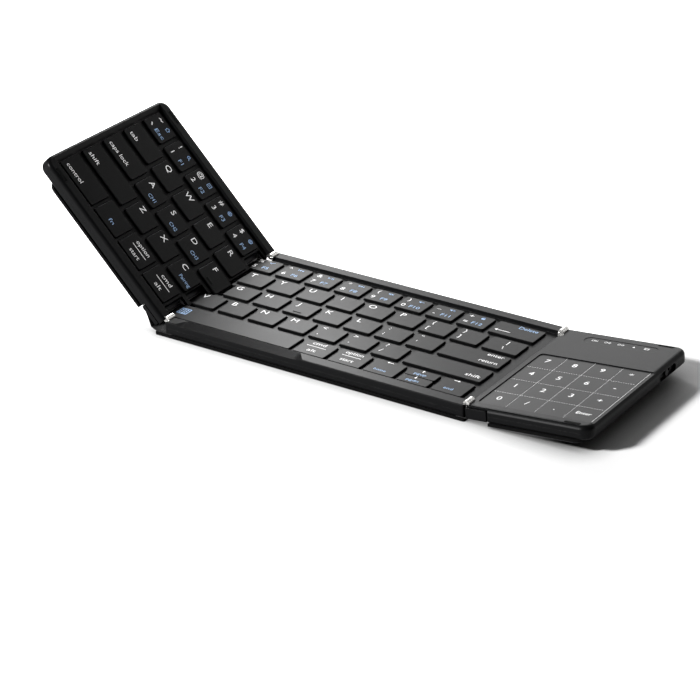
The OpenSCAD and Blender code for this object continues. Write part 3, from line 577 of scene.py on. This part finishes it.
def sign_lens(sheet, x, y, s):
    """A magnifying glass."""
    sheet.ring(x - 0.2 * s, y + 0.2 * s, 0.65 * s, SIGN_LINE)
    sheet.line(((x + 0.3 * s, y - 0.3 * s), (x + s, y - s)), SIGN_LINE)


def sign_window(sheet, x, y, s):
    """A window with a line in it."""
    sheet.path([(x - s, y - s), (x + s, y - s), (x + s, y + s), (x - s, y + s)], SIGN_LINE, closed=True)
    sheet.line(((x - 0.5 * s, y), (x + 0.5 * s, y)), SIGN_LINE)


def sign_round(sheet, x, y, s):
    """A round arrow in a ring."""
    sheet.ring(x, y, s, SIGN_LINE)
    sheet.ring(x, y, 0.45 * s, SIGN_LINE, start=90, turn=270)


def sign_grid(sheet, x, y, s):
    """A globe."""
    sheet.ring(x, y, s, SIGN_LINE)
    for step in (-0.35, 0.35):
        sheet.line(((x - 0.8 * s, y + step * s), (x + 0.8 * s, y + step * s)), 0.8 * SIGN_LINE)
    sheet.line(((x, y - 0.8 * s), (x, y + 0.8 * s)), 0.8 * SIGN_LINE)


def sign_tick(sheet, x, y, s):
    """A tick."""
    sheet.path([(x - s, y), (x - 0.3 * s, y - 0.8 * s), (x + s, y + 0.8 * s)], SIGN_LINE)


def triangle(sheet, x, y, s, facing):
    """A filled triangle that points right (facing 1) or left (facing -1)."""
    outline = [(x - facing * s / 2, y - s / 2), (x + facing * s / 2, y), (x - facing * s / 2, y + s / 2)]
    sheet.shape_of(outline if facing > 0 else outline[::-1])


def sign_back(sheet, x, y, s):
    """Back to the last track."""
    sheet.line(((x - 1.5 * s, y - 0.45 * s), (x - 1.5 * s, y + 0.45 * s)), SIGN_LINE)
    for step in (-0.7, 0.5):
        triangle(sheet, x + step * s, y, 1.1 * s, -1)


def sign_play(sheet, x, y, s):
    """Play and pause."""
    triangle(sheet, x - 0.8 * s, y, 1.1 * s, 1)
    for step in (0.5, 1.2):
        sheet.line(((x + step * s, y - 0.45 * s), (x + step * s, y + 0.45 * s)), 1.2 * SIGN_LINE)


def sign_next(sheet, x, y, s):
    """On to the next track."""
    sheet.line(((x + 1.5 * s, y - 0.45 * s), (x + 1.5 * s, y + 0.45 * s)), SIGN_LINE)
    for step in (-0.5, 0.7):
        triangle(sheet, x + step * s, y, 1.1 * s, 1)


def speaker(sheet, x, y, s):
    """A loudspeaker."""
    sheet.shape_of([(x - s, y - 0.3 * s), (x - 0.5 * s, y - 0.3 * s), (x, y - 0.7 * s),
                    (x, y + 0.7 * s), (x - 0.5 * s, y + 0.3 * s), (x - s, y + 0.3 * s)])


def sign_mute(sheet, x, y, s):
    """Sound off."""
    speaker(sheet, x, y, s)
    sheet.line(((x + 0.4 * s, y - 0.4 * s), (x + 1.2 * s, y + 0.4 * s)), SIGN_LINE)
    sheet.line(((x + 0.4 * s, y + 0.4 * s), (x + 1.2 * s, y - 0.4 * s)), SIGN_LINE)


def sign_quieter(sheet, x, y, s):
    """Sound down."""
    speaker(sheet, x, y, s)
    sheet.line(((x + 0.5 * s, y), (x + 1.3 * s, y)), SIGN_LINE)


def sign_louder(sheet, x, y, s):
    """Sound up."""
    sign_quieter(sheet, x, y, s)
    sheet.line(((x + 0.9 * s, y - 0.4 * s), (x + 0.9 * s, y + 0.4 * s)), SIGN_LINE)


def sign_lock(sheet, x, y, s):
    """A padlock."""
    left, right, foot, top = x - 0.8 * s, x + 0.8 * s, y - s, y + 0.1 * s
    sheet.shape_of([(left, foot), (right, foot), (right, top), (left, top)])
    sheet.ring(x, y + 0.2 * s, 0.5 * s, SIGN_LINE, turn=180)


def arrow(sheet, x, y, length, angle, width=0.32, head=0.9):
    """An arrow centred on (x, y) that points the way the angle says, in degrees."""
    turn = Matrix.Rotation(math.radians(angle), 2)

    def at(px, py):
        return tuple(Vector((x, y)) + turn @ Vector((px, py)))

    tip = length / 2
    sheet.line((at(-tip, 0), at(tip - head, 0)), width)
    sheet.shape_of([at(tip - head, -0.75 * head), at(tip, 0), at(tip - head, 0.75 * head)])


# ---------------------------------------------------------------- key layout, as in the part's source

KEY_PITCH = 16.5
LEFT_PITCH = 16.54
ROW_FRONT = {"numbers": 25.05, "upper": 9.33, "home": -6.39, "lower": -22.11, "bottom": -38.65}
MIDDLE_START = {"numbers": -4.5, "upper": 1.25, "home": 4.25, "lower": -4.1}
LEFT_START = {"numbers": 6.93, "upper": 1.18, "home": -1.82, "lower": 6.53}
CAP_WIDTH = 14.07
LETTER_HEIGHT = 3.1
DIGIT_HEIGHT = 2.7
SIDE_WORD_HEIGHT = 2.35
MIDDLE_LETTER_STEP = 3.4
LEFT_LETTER_STEP = 4.1


def middle_row(body, row, labels):
    """Sheets and the left edges of a row's caps on the middle panel."""
    for i, label in enumerate(labels):
        yield body, ON_MIDDLE, label, MIDDLE_START[row] + i * KEY_PITCH, ROW_FRONT[row]


def left_row(body, row, labels):
    """The same on the left wing, whose caps are read towards the hinge."""
    for i, label in enumerate(labels):
        hinge_side = LEFT_START[row] + (len(labels) - 1 - i) * LEFT_PITCH
        yield body, ON_LEFT, label, -hinge_side - CAP_WIDTH, ROW_FRONT[row]


def print_letters():
    """The letters, and the small blue words under some of them."""
    rows = [
        middle_row("keys_t_to_backslash", "upper", "TYUIOP"), middle_row("keys_g_to_quote", "home", "GHJKL"),
        middle_row("keys_v_to_slash", "lower", "VBNM"), left_row("keys_qwer", "upper", "QWER"),
        left_row("keys_asdf", "home", "ASDF"), left_row("keys_zxc", "lower", "ZXC"),
    ]
    for row in rows:
        for body, place, letter, x, y in row:
            step = MIDDLE_LETTER_STEP if place == ON_MIDDLE else LEFT_LETTER_STEP
            sheet_of(body, WHITE_INK, place).word(letter, x + step, y + 9.75, LETTER_HEIGHT)
    second_words = [("keys_asdf", "home", 5, ["CH1", "CH2", "CH3", ""]),
                    ("keys_zxc", "lower", 7.4, ["", "", "Pairing"])]
    for body, row, width, labels in second_words:
        for _, place, word, x, y in left_row(body, row, labels):
            if word:
                sheet_of(body, BLUE_INK, place).word(word, x + 9.6, y + 3.9, 2.1, width=width)


def print_number_keys():
    """Two white marks and two blue ones on each key of the number row."""
    keys = [
        ("keys_one_to_four", left_row, ["1!", "2@", "3#", "4$"], 1, (3.4, 9.9),
         [sign_lens, sign_window, sign_round, sign_grid]),
        ("keys_five_to_equals", middle_row, ["5%", "6^", "7&", "8*", "9(", "0)", "-_", "=+"], 5, (2.9, 8.8),
         [sign_tick, sign_back, sign_play, sign_next, sign_mute, sign_quieter, sign_louder, sign_lock]),
    ]
    for body, row_of, labels, first, steps, signs in keys:
        for i, (_, place, pair, x, y) in enumerate(row_of(body, "numbers", labels)):
            white, blue = sheet_of(body, WHITE_INK, place), sheet_of(body, BLUE_INK, place)
            white.word(pair[0], x + steps[0], y + 3.8, DIGIT_HEIGHT)
            white.word(pair[1], x + steps[0], y + 10, DIGIT_HEIGHT if pair[1] not in "^*_" else 2.4)
            blue.word(f"F{first + i}", x + steps[1], y + 3.9, 2.3)
            signs[i](blue, x + steps[1], y + 10.2, 1.1)


def print_two_sign_keys():
    """The keys right of the letters, with one mark over another."""
    pairs = [("keys_t_to_backslash", "upper", 6, ["{[", "}]"]), ("keys_g_to_quote", "home", 5, [":;", "\"'"]),
             ("keys_v_to_slash", "lower", 4, ["<,", ">.", "?/"])]
    for body, row, skipped, labels in pairs:
        for i, pair in enumerate(labels):
            x = MIDDLE_START[row] + (skipped + i) * KEY_PITCH
            sheet = sheet_of(body, WHITE_INK, ON_MIDDLE)
            sheet.word(pair[0], x + 2.9, ROW_FRONT[row] + 10.3, 2.6)
            sheet.word(pair[1], x + 2.9, ROW_FRONT[row] + 4.6, 2.6)
    sheet = sheet_of("keys_t_to_backslash", WHITE_INK, ON_MIDDLE)
    middle_of_key = (133.25 + 150.9) / 2
    sheet.word("|", middle_of_key, ROW_FRONT["upper"] + 9.6, 2.8)
    sheet.word("\\", middle_of_key, ROW_FRONT["upper"] + 4.1, 2.6)


def print_left_words():
    """The words and signs on the left wing's outer and front keys."""
    start = -85.0
    side_words = [("key_tab", "tab", "upper", 5.4), ("key_caps_lock", "caps lock", "home", 13.9),
                  ("key_shift_left", "shift", "lower", 7.1), ("key_control", "control", "bottom", 11)]
    for body, word, row, width in side_words:
        y = ROW_FRONT[row] + 3.9
        sheet_of(body, WHITE_INK, ON_LEFT).word(word, start, y, SIDE_WORD_HEIGHT, width=width, from_left=True)
    escape_blue = sheet_of("key_escape", BLUE_INK, ON_LEFT)
    escape_blue.word("Esc", -80.7, 28.6, 2.2, width=6.3, from_left=True)
    sign_house(escape_blue, -77.4, 35, 1.15)
    escape_white = sheet_of("key_escape", WHITE_INK, ON_LEFT)
    escape_white.path([(-84.4, 35.2), (-83.7, 35.7), (-82.7, 35.1), (-82, 35.6)], 0.4)
    escape_white.line(((-84.3, 29.3), (-83.4, 28.3)), 0.5)
    sheet_of("key_function", BLUE_INK, ON_LEFT).word("fn", -51.8, -34.1, 2.2, width=3.3)
    levels = (-28, -31.2, -34.7)
    print_split_words(sheet_of("key_option_left", WHITE_INK, ON_LEFT), -33.4, levels, "option", "start")
    print_split_words(sheet_of("key_command_left", WHITE_INK, ON_LEFT), -15.2, levels, "cmd", "alt")


SPLIT_WIDTHS = {"option": 9, "cmd": 6.8, "start": 6.6, "alt": 4.4}


def print_split_words(sheet, x, levels, upper, lower):
    """Two words over each other with a thin line between them; levels are their heights on the face."""
    top, middle, bottom = levels
    sheet.word(upper, x, top, SIDE_WORD_HEIGHT, width=SPLIT_WIDTHS[upper])
    sheet.word(lower, x, bottom, SIDE_WORD_HEIGHT, width=SPLIT_WIDTHS[lower])
    sheet.line(((x - 4.8, middle), (x + 4.8, middle)), 0.3)


TO_PANEL = 78.6


def print_middle_words():
    """The middle panel's words and arrows; TO_PANEL is how far its middle lies from the left hinge."""
    delete = sheet_of("key_delete", BLUE_INK, ON_MIDDLE)
    delete.word("Delete", 64.55 + TO_PANEL, 35.6, 2.4, width=9.6)
    arrow(sheet_of("key_delete", WHITE_INK, ON_MIDDLE), 54.5 + TO_PANEL, 28.8, 7.8, 180, head=1.3)
    enter = sheet_of("key_enter", WHITE_INK, ON_MIDDLE)
    enter.word("enter", 65.5 + TO_PANEL, 4.3, SIDE_WORD_HEIGHT, width=8.2)
    enter.word("return", 65.3 + TO_PANEL, -2.4, SIDE_WORD_HEIGHT, width=9)
    shift = sheet_of("key_shift_right", WHITE_INK, ON_MIDDLE)
    shift.word("shift", 66.5 + TO_PANEL, -17.9, SIDE_WORD_HEIGHT, width=7.2)
    levels = (-27.4, -30.55, -34.4)
    command = sheet_of("key_command_right", WHITE_INK, ON_MIDDLE)
    print_split_words(command, -6.5 + TO_PANEL, levels, "cmd", "alt")
    option = sheet_of("key_option_right", WHITE_INK, ON_MIDDLE)
    print_split_words(option, 12.0 + TO_PANEL, levels, "option", "start")
    arrows = [
        ("key_arrow_left", 29.8, -26.6, 180, "home", 29.4, -34.8),
        ("key_arrow_up", 46.7, -26.3, 90, "pgup", 46.7, -29.1),
        ("key_arrow_down", 46.7, -33.0, 270, "pgdn", 46.7, -35.9),
        ("key_arrow_right", 63.7, -26.2, 0, "end", 63.8, -34.4),
    ]
    for body, x, y, angle, word, word_x, word_y in arrows:
        length = 3 if angle in (0, 180) else 1.9
        arrow(sheet_of(body, WHITE_INK, ON_MIDDLE), x + TO_PANEL, y, length, angle)
        sheet_of(body, BLUE_INK, ON_MIDDLE).word(word, word_x + TO_PANEL, word_y, 1.75, width=1.5 * len(word))


def print_space_sign():
    """The small keyboard sign at the left end of the space bar."""
    sheet = sheet_of("key_space", BLUE_INK, ON_MIDDLE)
    x, y = 0.5, -31.2
    frame_line = [(x - 2.4, y - 2.6), (x + 2.4, y - 2.6), (x + 2.4, y + 2.6), (x - 2.4, y + 2.6)]
    sheet.path(frame_line, 0.35, closed=True)
    for row in range(3):
        for column in range(3):
            left, low = x - 1.8 + 1.35 * column, y - 2.0 + 1.5 * row
            sheet.shape_of([(left, low), (left + 0.7, low), (left + 0.7, low + 0.8), (left, low + 0.8)])


# ---------------------------------------------------------------- touchpad and status print

PAD_COLUMNS = [9.5, 23.0, 36.6, 50.3]
PAD_ROWS = [10.0, -4.5, -18.45, -32.7]
PAD_SIGNS = ["789*", "456-", "123+", ["0", "/", ".", "Enter"]]
COLUMN_LINES = [16.55, 30.29, 44.03]
ROW_LINES = [1.72, -12.53, -26.78]
PAD_LEFT, PAD_RIGHT, PAD_FRONT, PAD_REAR = 3.4, 57.3, -40.1, 15.7
COLUMN_LINE_WIDTH = 0.07
RIGHT_LINE_WIDTH = 0.13
DASH_STEP = 1.2


def dash_row_tree():
    """Geometry nodes: a row of flat dashes with a given step, length and width."""
    tree = bpy.data.node_groups.new("dash_row", "GeometryNodeTree")
    for label, value in (("Step", 1.0), ("Dash", 0.5), ("Width", 0.2), ("Thickness", 0.02)):
        socket = tree.interface.new_socket(label, in_out="INPUT", socket_type="NodeSocketFloat")
        socket.default_value = value
    count = tree.interface.new_socket("Count", in_out="INPUT", socket_type="NodeSocketInt")
    count.default_value = 10
    tree.interface.new_socket("Ink", in_out="INPUT", socket_type="NodeSocketMaterial")
    tree.interface.new_socket("Geometry", in_out="OUTPUT", socket_type="NodeSocketGeometry")
    given, made = tree.nodes.new("NodeGroupInput"), tree.nodes.new("NodeGroupOutput")
    row = tree.nodes.new("GeometryNodeMeshLine")
    step = tree.nodes.new("ShaderNodeCombineXYZ")
    tree.links.new(given.outputs["Step"], step.inputs["X"])
    tree.links.new(given.outputs["Count"], row.inputs["Count"])
    tree.links.new(step.outputs["Vector"], row.inputs["Offset"])
    size = tree.nodes.new("ShaderNodeCombineXYZ")
    for label, socket in (("Dash", "X"), ("Width", "Y"), ("Thickness", "Z")):
        tree.links.new(given.outputs[label], size.inputs[socket])
    dash = tree.nodes.new("GeometryNodeMeshCube")
    tree.links.new(size.outputs["Vector"], dash.inputs["Size"])
    spread = tree.nodes.new("GeometryNodeInstanceOnPoints")
    tree.links.new(row.outputs["Mesh"], spread.inputs["Points"])
    tree.links.new(dash.outputs["Mesh"], spread.inputs["Instance"])
    real = tree.nodes.new("GeometryNodeRealizeInstances")
    inked = tree.nodes.new("GeometryNodeSetMaterial")
    tree.links.new(spread.outputs["Instances"], real.inputs["Geometry"])
    tree.links.new(real.outputs["Geometry"], inked.inputs["Geometry"])
    tree.links.new(given.outputs["Ink"], inked.inputs["Material"])
    tree.links.new(inked.outputs["Geometry"], made.inputs["Geometry"])
    return tree


def built_mesh(tree, **values):
    """The mesh that a geometry node tree makes with the given inputs."""
    holder = add_object("holder", bpy.data.meshes.new("holder"))
    maker = holder.modifiers.new("maker", "NODES")
    maker.node_group = tree
    sockets = {item.name: item.identifier for item in tree.interface.items_tree if item.in_out == "INPUT"}
    for label, value in values.items():
        maker[sockets[label]] = value
    bpy.context.view_layer.update()
    seen = holder.evaluated_get(bpy.context.evaluated_depsgraph_get())
    mesh = bpy.data.meshes.new_from_object(seen)
    bpy.data.objects.remove(holder)
    return mesh


def add_dashed_lines():
    """The dotted lines between the touchpad's rows."""
    count = int((PAD_RIGHT - PAD_LEFT) / DASH_STEP)
    row = built_mesh(dash_row_tree(), Step=DASH_STEP, Dash=0.6, Width=0.12, Thickness=0.03, Count=count,
                     Ink=WHITE_INK)
    joined = bmesh.new()
    for y in ROW_LINES:
        copy = row.copy()
        copy.transform(ON_PAD @ Matrix.Translation((PAD_LEFT + 0.8, y, 0)))
        joined.from_mesh(copy)
    mesh = bpy.data.meshes.new("touchpad_row_dots")
    joined.to_mesh(mesh)
    joined.free()
    mesh.materials.append(WHITE_INK)
    dots = add_object("touchpad_row_dots", mesh)
    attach(dots, "right_wing")


def print_touchpad():
    """The number pad printed on the touchpad."""
    sheet = Sheet("touchpad_print", "right_wing", WHITE_INK, ON_PAD)
    for signs, y in zip(PAD_SIGNS, PAD_ROWS):
        for sign, x in zip(signs, PAD_COLUMNS):
            if sign == "Enter":
                sheet.word(sign, x, y, 2.3, width=7.1)
            else:
                sheet.word(sign, x, y, 3.1)
    for x in COLUMN_LINES:
        sheet.line(((x, PAD_FRONT + 0.4), (x, PAD_REAR - 0.4)), COLUMN_LINE_WIDTH)
    sheet.line(((PAD_RIGHT, PAD_FRONT + 1), (PAD_RIGHT, PAD_REAR - 1)), RIGHT_LINE_WIDTH)
    sheet.finish()
    add_dashed_lines()


def print_status_marks():
    """The marks on the status strip."""
    sheet = Sheet("status_print", "right_wing", WHITE_INK, ON_LENS)
    y = 37.6
    for i, x in enumerate((18.2, 24.6, 31.1)):
        sheet.word(f"CH{i + 1}", x, y, 1.35, width=3.1)
    sheet.shape_of([(37.1, y - 0.7), (38.3, y - 0.7), (37.7, y + 0.6)])
    sheet.path([(42.9, y - 0.6), (44.9, y - 0.6), (44.9, y + 0.6), (42.9, y + 0.6)], 0.3, closed=True)
    sheet.finish()


# ---------------------------------------------------------------- spine skins and flexible cables

SKIN_HEIGHT = -6.2
SKIN_THICK = 0.3
BOARD_REACH = 5.2
SKIN_BULGE = 3.7
SKIN_HALF_WIDTH = 45.6
SKIN_ROWS = 60
SKIN_STEPS = 8


def wing_point(u, n, angle):
    """A point of a wing in its hinge's own frame: outwards from the middle panel, and up."""
    return Vector((u * math.cos(angle) - n * math.sin(angle), u * math.sin(angle) + n * math.cos(angle)))


def smooth_path(points, steps):
    """A curve through the points, with even steps between each two."""
    padded = [2 * points[0] - points[1]] + points + [2 * points[-1] - points[-2]]
    curve = []
    for a, b, c, d in zip(padded, padded[1:], padded[2:], padded[3:]):
        for i in range(steps):
            t = i / steps
            curve.append(0.5 * (2 * b + (c - a) * t + (2 * a - 5 * b + 4 * c - d) * t * t
                                + (3 * b - a - 3 * c + d) * t * t * t))
    return curve + [points[-1]]


def strip(name, path, thick, y0, y1, rows, axis, outwards, material):
    """A thin band along the path, from y0 to y1, divided into the given rows."""
    shape = bmesh.new()
    rings = []
    for i, point in enumerate(path):
        before, after = path[max(i - 1, 0)], path[min(i + 1, len(path) - 1)]
        along = (after - before).normalized()
        side = Vector((-along.y, along.x)) * thick / 2
        ring = []
        for flank in (side, -side):
            spot = point + flank
            for j in range(rows + 1):
                y = y0 + (y1 - y0) * j / rows
                ring.append(shape.verts.new(axis + Vector((outwards * spot.x, y, spot.y)) * MM))
        rings.append(ring)
    half = rows + 1
    for ring, following in zip(rings, rings[1:]):
        loop = list(range(half)) + list(range(2 * half - 1, half - 1, -1))
        for a, b in zip(loop, loop[1:] + loop[:1]):
            shape.faces.new([ring[a], ring[b], following[b], following[a]])
    for ring in (rings[0], rings[-1]):
        for j in range(rows):
            shape.faces.new([ring[j], ring[j + 1], ring[half + j + 1], ring[half + j]])
    bmesh.ops.recalc_face_normals(shape, faces=shape.faces)
    mesh = bpy.data.meshes.new(name)
    shape.to_mesh(mesh)
    shape.free()
    for face in mesh.polygons:
        face.use_smooth = True
    mesh.materials.append(material)
    return add_object(name, mesh)


def add_spine_skins():
    """The left skin bulges under its hinge, as its wing is raised far; the right one is nearly flat."""
    fold_n = SKIN_HEIGHT - SKIN_BULGE * math.sin(LEFT_ANGLE)
    fold_u = max(1.5, (BOARD_REACH + 1.5 + fold_n * math.sin(LEFT_ANGLE)) / math.cos(LEFT_ANGLE))
    left_points = [
        Vector((-4.2, SKIN_HEIGHT)), Vector((BOARD_REACH - 1, SKIN_HEIGHT)),
        wing_point(fold_u, fold_n, LEFT_ANGLE), wing_point(fold_u + 1.1, fold_n + 0.1, LEFT_ANGLE),
        wing_point(9, SKIN_HEIGHT, LEFT_ANGLE), wing_point(11.4, SKIN_HEIGHT, LEFT_ANGLE),
    ]
    left = strip("spine_cloth_left", smooth_path(left_points, SKIN_STEPS), SKIN_THICK,
                 -SKIN_HALF_WIDTH, SKIN_HALF_WIDTH, SKIN_ROWS, LEFT_AXIS, -1, SPINE_CLOTH)
    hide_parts("spine_skin_left")
    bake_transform(left)
    right_points = [Vector((-4.2, SKIN_HEIGHT)), Vector((0, SKIN_HEIGHT)),
                    wing_point(3, SKIN_HEIGHT, RIGHT_ANGLE), wing_point(10.2, SKIN_HEIGHT, RIGHT_ANGLE)]
    right = strip("spine_cloth_right", smooth_path(right_points, SKIN_STEPS), SKIN_THICK,
                  -SKIN_HALF_WIDTH, SKIN_HALF_WIDTH, SKIN_ROWS, RIGHT_AXIS, 1, SPINE_CLOTH)
    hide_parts("spine_skin_right")
    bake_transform(right)


FLEX_HEIGHT = -3.475
FLEX_Y = 23.49
FLEX_HALF = 1.0
FLEX_THICK = 0.15
FLEX_TURNS = 12


def add_flex_cables():
    """The flat cables that join the circuits across the hinges."""
    for name, node, body, axis, outwards, angle, inner in [
        ("flex_strip_left", "flex_cable_left", "left_wing", LEFT_AXIS, -1, LEFT_ANGLE, 8),
        ("flex_strip_right", "flex_cable_right", "right_wing", RIGHT_AXIS, 1, RIGHT_ANGLE, 5),
    ]:
        points = [Vector((-inner, FLEX_HEIGHT)), Vector((-inner / 2, FLEX_HEIGHT))]
        points += [wing_point(0, FLEX_HEIGHT, angle * i / FLEX_TURNS) for i in range(FLEX_TURNS + 1)]
        points += [wing_point(4, FLEX_HEIGHT, angle), wing_point(8, FLEX_HEIGHT, angle)]
        piece = strip(name, points, FLEX_THICK, FLEX_Y - FLEX_HALF, FLEX_Y + FLEX_HALF, 2, axis, outwards,
                      FLEX_FILM)
        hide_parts(node)
        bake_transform(piece)


# ---------------------------------------------------------------- table, world and lamps

AMBIENT = 0.04
TABLE_WHITE = (0.98, 0.98, 0.98)
TABLE_BOUNCE = (0.22, 0.22, 0.22)
SHADOW_START = 0.075
SHADOW_FULL = 0.125
FRONT_GLOW = 0.12
FRONT_EDGE = (-0.046, -0.03)
PAINTED_CONTACT_REACH = 0.012
TABLE_REACH = 4


def add_table():
    """A white table: it glows to the camera where the photo's is plain white, and keeps the shadows."""
    mesh = bpy.data.meshes.new("table")
    corners = [(x * TABLE_REACH, y * TABLE_REACH, 0) for x, y in ((-1, -1), (1, -1), (1, 1), (-1, 1))]
    mesh.from_pydata(corners, [], [(0, 1, 2, 3)])
    table = add_object("table", mesh)
    material, tree, shader = start_material("table_white", Roughness=0.9, Specular_IOR_Level=0.0,
                                            Emission_Color=(1, 1, 1, 1))
    rays = tree.nodes.new("ShaderNodeLightPath")
    seen = math_result(tree, "MAXIMUM", rays.outputs["Is Camera Ray"], rays.outputs["Is Glossy Ray"])
    # painted contact shade: an occlusion mask darkens the table's white near the object, to the camera and in
    # reflections
    painted_contact_shade = tree.nodes.new("ShaderNodeAmbientOcclusion")
    painted_contact_shade.samples = 8
    painted_contact_shade.inputs["Distance"].default_value = PAINTED_CONTACT_REACH
    painted_contact_shade.inputs["Color"].default_value = (*TABLE_WHITE, 1)
    shade = tree.nodes.new("ShaderNodeMix")
    shade.data_type = "RGBA"
    shade.inputs["A"].default_value = (*TABLE_BOUNCE, 1)
    tree.links.new(painted_contact_shade.outputs["Color"], shade.inputs["B"])
    tree.links.new(seen, shade.inputs["Factor"])
    tree.links.new(shade.outputs["Result"], shader.inputs["Base Color"])
    place = tree.nodes.new("ShaderNodeSeparateXYZ")
    tree.links.new(tree.nodes.new("ShaderNodeTexCoord").outputs["Object"], place.inputs["Vector"])
    # painted light: to the camera the table glows fully behind the body, weakly in front of it and not at all
    # right of SHADOW_FULL; it whites out the shadows cast behind the body and keeps the right wing's
    glow = rays.outputs["Is Camera Ray"]
    fades = {"X": (SHADOW_START, SHADOW_FULL, 1, 0), "Y": (*FRONT_EDGE, FRONT_GLOW, 1)}
    for side, limits in fades.items():
        fade = tree.nodes.new("ShaderNodeMapRange")
        fade.interpolation_type = "SMOOTHSTEP"
        for label, value in zip(("From Min", "From Max", "To Min", "To Max"), limits):
            fade.inputs[label].default_value = value
        tree.links.new(place.outputs[side], fade.inputs["Value"])
        glow = math_result(tree, "MULTIPLY", glow, fade.outputs["Result"])
    tree.links.new(glow, shader.inputs["Emission Strength"])
    mesh.materials.append(material)


def set_world():
    """Plain soft light all round; the camera sees a pale studio."""
    world = bpy.data.worlds.new("studio")
    bpy.context.scene.world = world
    world.use_nodes = True
    tree = world.node_tree
    tree.nodes.clear()
    rays = tree.nodes.new("ShaderNodeLightPath")
    seen = math_result(tree, "MAXIMUM", rays.outputs["Is Camera Ray"], rays.outputs["Is Transmission Ray"])
    level = tree.nodes.new("ShaderNodeMapRange")
    level.inputs["To Min"].default_value = AMBIENT
    tree.links.new(seen, level.inputs["Value"])
    sky = tree.nodes.new("ShaderNodeBackground")
    tree.links.new(level.outputs["Result"], sky.inputs["Strength"])
    out = tree.nodes.new("ShaderNodeOutputWorld")
    tree.links.new(sky.outputs["Background"], out.inputs["Surface"])


def add_lamp(name, place, target, wide, high, brightness):
    """A soft box; its brightness is the radiance of its face."""
    data = bpy.data.lights.new(name, "AREA")
    data.shape = "RECTANGLE"
    data.size = wide
    data.size_y = high
    data.energy = brightness * math.pi * wide * high
    lamp = add_object(name, data)
    lamp.location = place
    aim(lamp, target)
    lamp.visible_camera = False


TABLE_MIDDLE = Vector((0, 0, 0.008))
LEFT_WING_MIDDLE = Vector((-0.12, 0, 0.05))
KEY_PLACE = TABLE_MIDDLE + 1.6 * Vector((-0.48, -0.71, 0.515))
BACKWARDS = Vector((-0.533, 0.846, 0))
SHEEN_PLACE = Vector((-0.2645, 0.3297, 0.206))
SCREEN_PLACE = Vector((-0.1181, 0.4219, 0.176))
LAMPS = [
    ("key_lamp", KEY_PLACE, TABLE_MIDDLE, 0.22, 0.22, 325),
    ("left_sheen", SHEEN_PLACE, SHEEN_PLACE - BACKWARDS, 0.085, 0.085, 9),
    ("back_screen", SCREEN_PLACE, SCREEN_PLACE - BACKWARDS, 0.397, 0.197, 3.6),
    ("wing_screen", Vector((0.136, 0.46, 0.333)), LEFT_WING_MIDDLE, 0.36, 0.3, 0.62),
    ("upper_sheen", Vector((-0.28, 0.36, 0.33)), Vector((-0.08, 0, 0.03)), 0.11, 0.11, 16),
    ("right_screen", Vector((0.5, 0.75, 0.25)), Vector((0.13, 0, 0.01)), 0.5, 0.5, 0.8),
]


# ---------------------------------------------------------------- the whole scene

add_camera()
dress_nodes()
print_letters()
print_number_keys()
print_two_sign_keys()
print_left_words()
print_middle_words()
print_space_sign()
for ink_sheet in SHEETS.values():
    ink_sheet.finish()
print_touchpad()
print_status_marks()
add_spine_skins()
add_flex_cables()
add_table()
set_world()
for lamp in LAMPS:
    add_lamp(*lamp)
bpy.context.scene.view_settings.view_transform = "Standard"

bpy.context.view_layer.update()
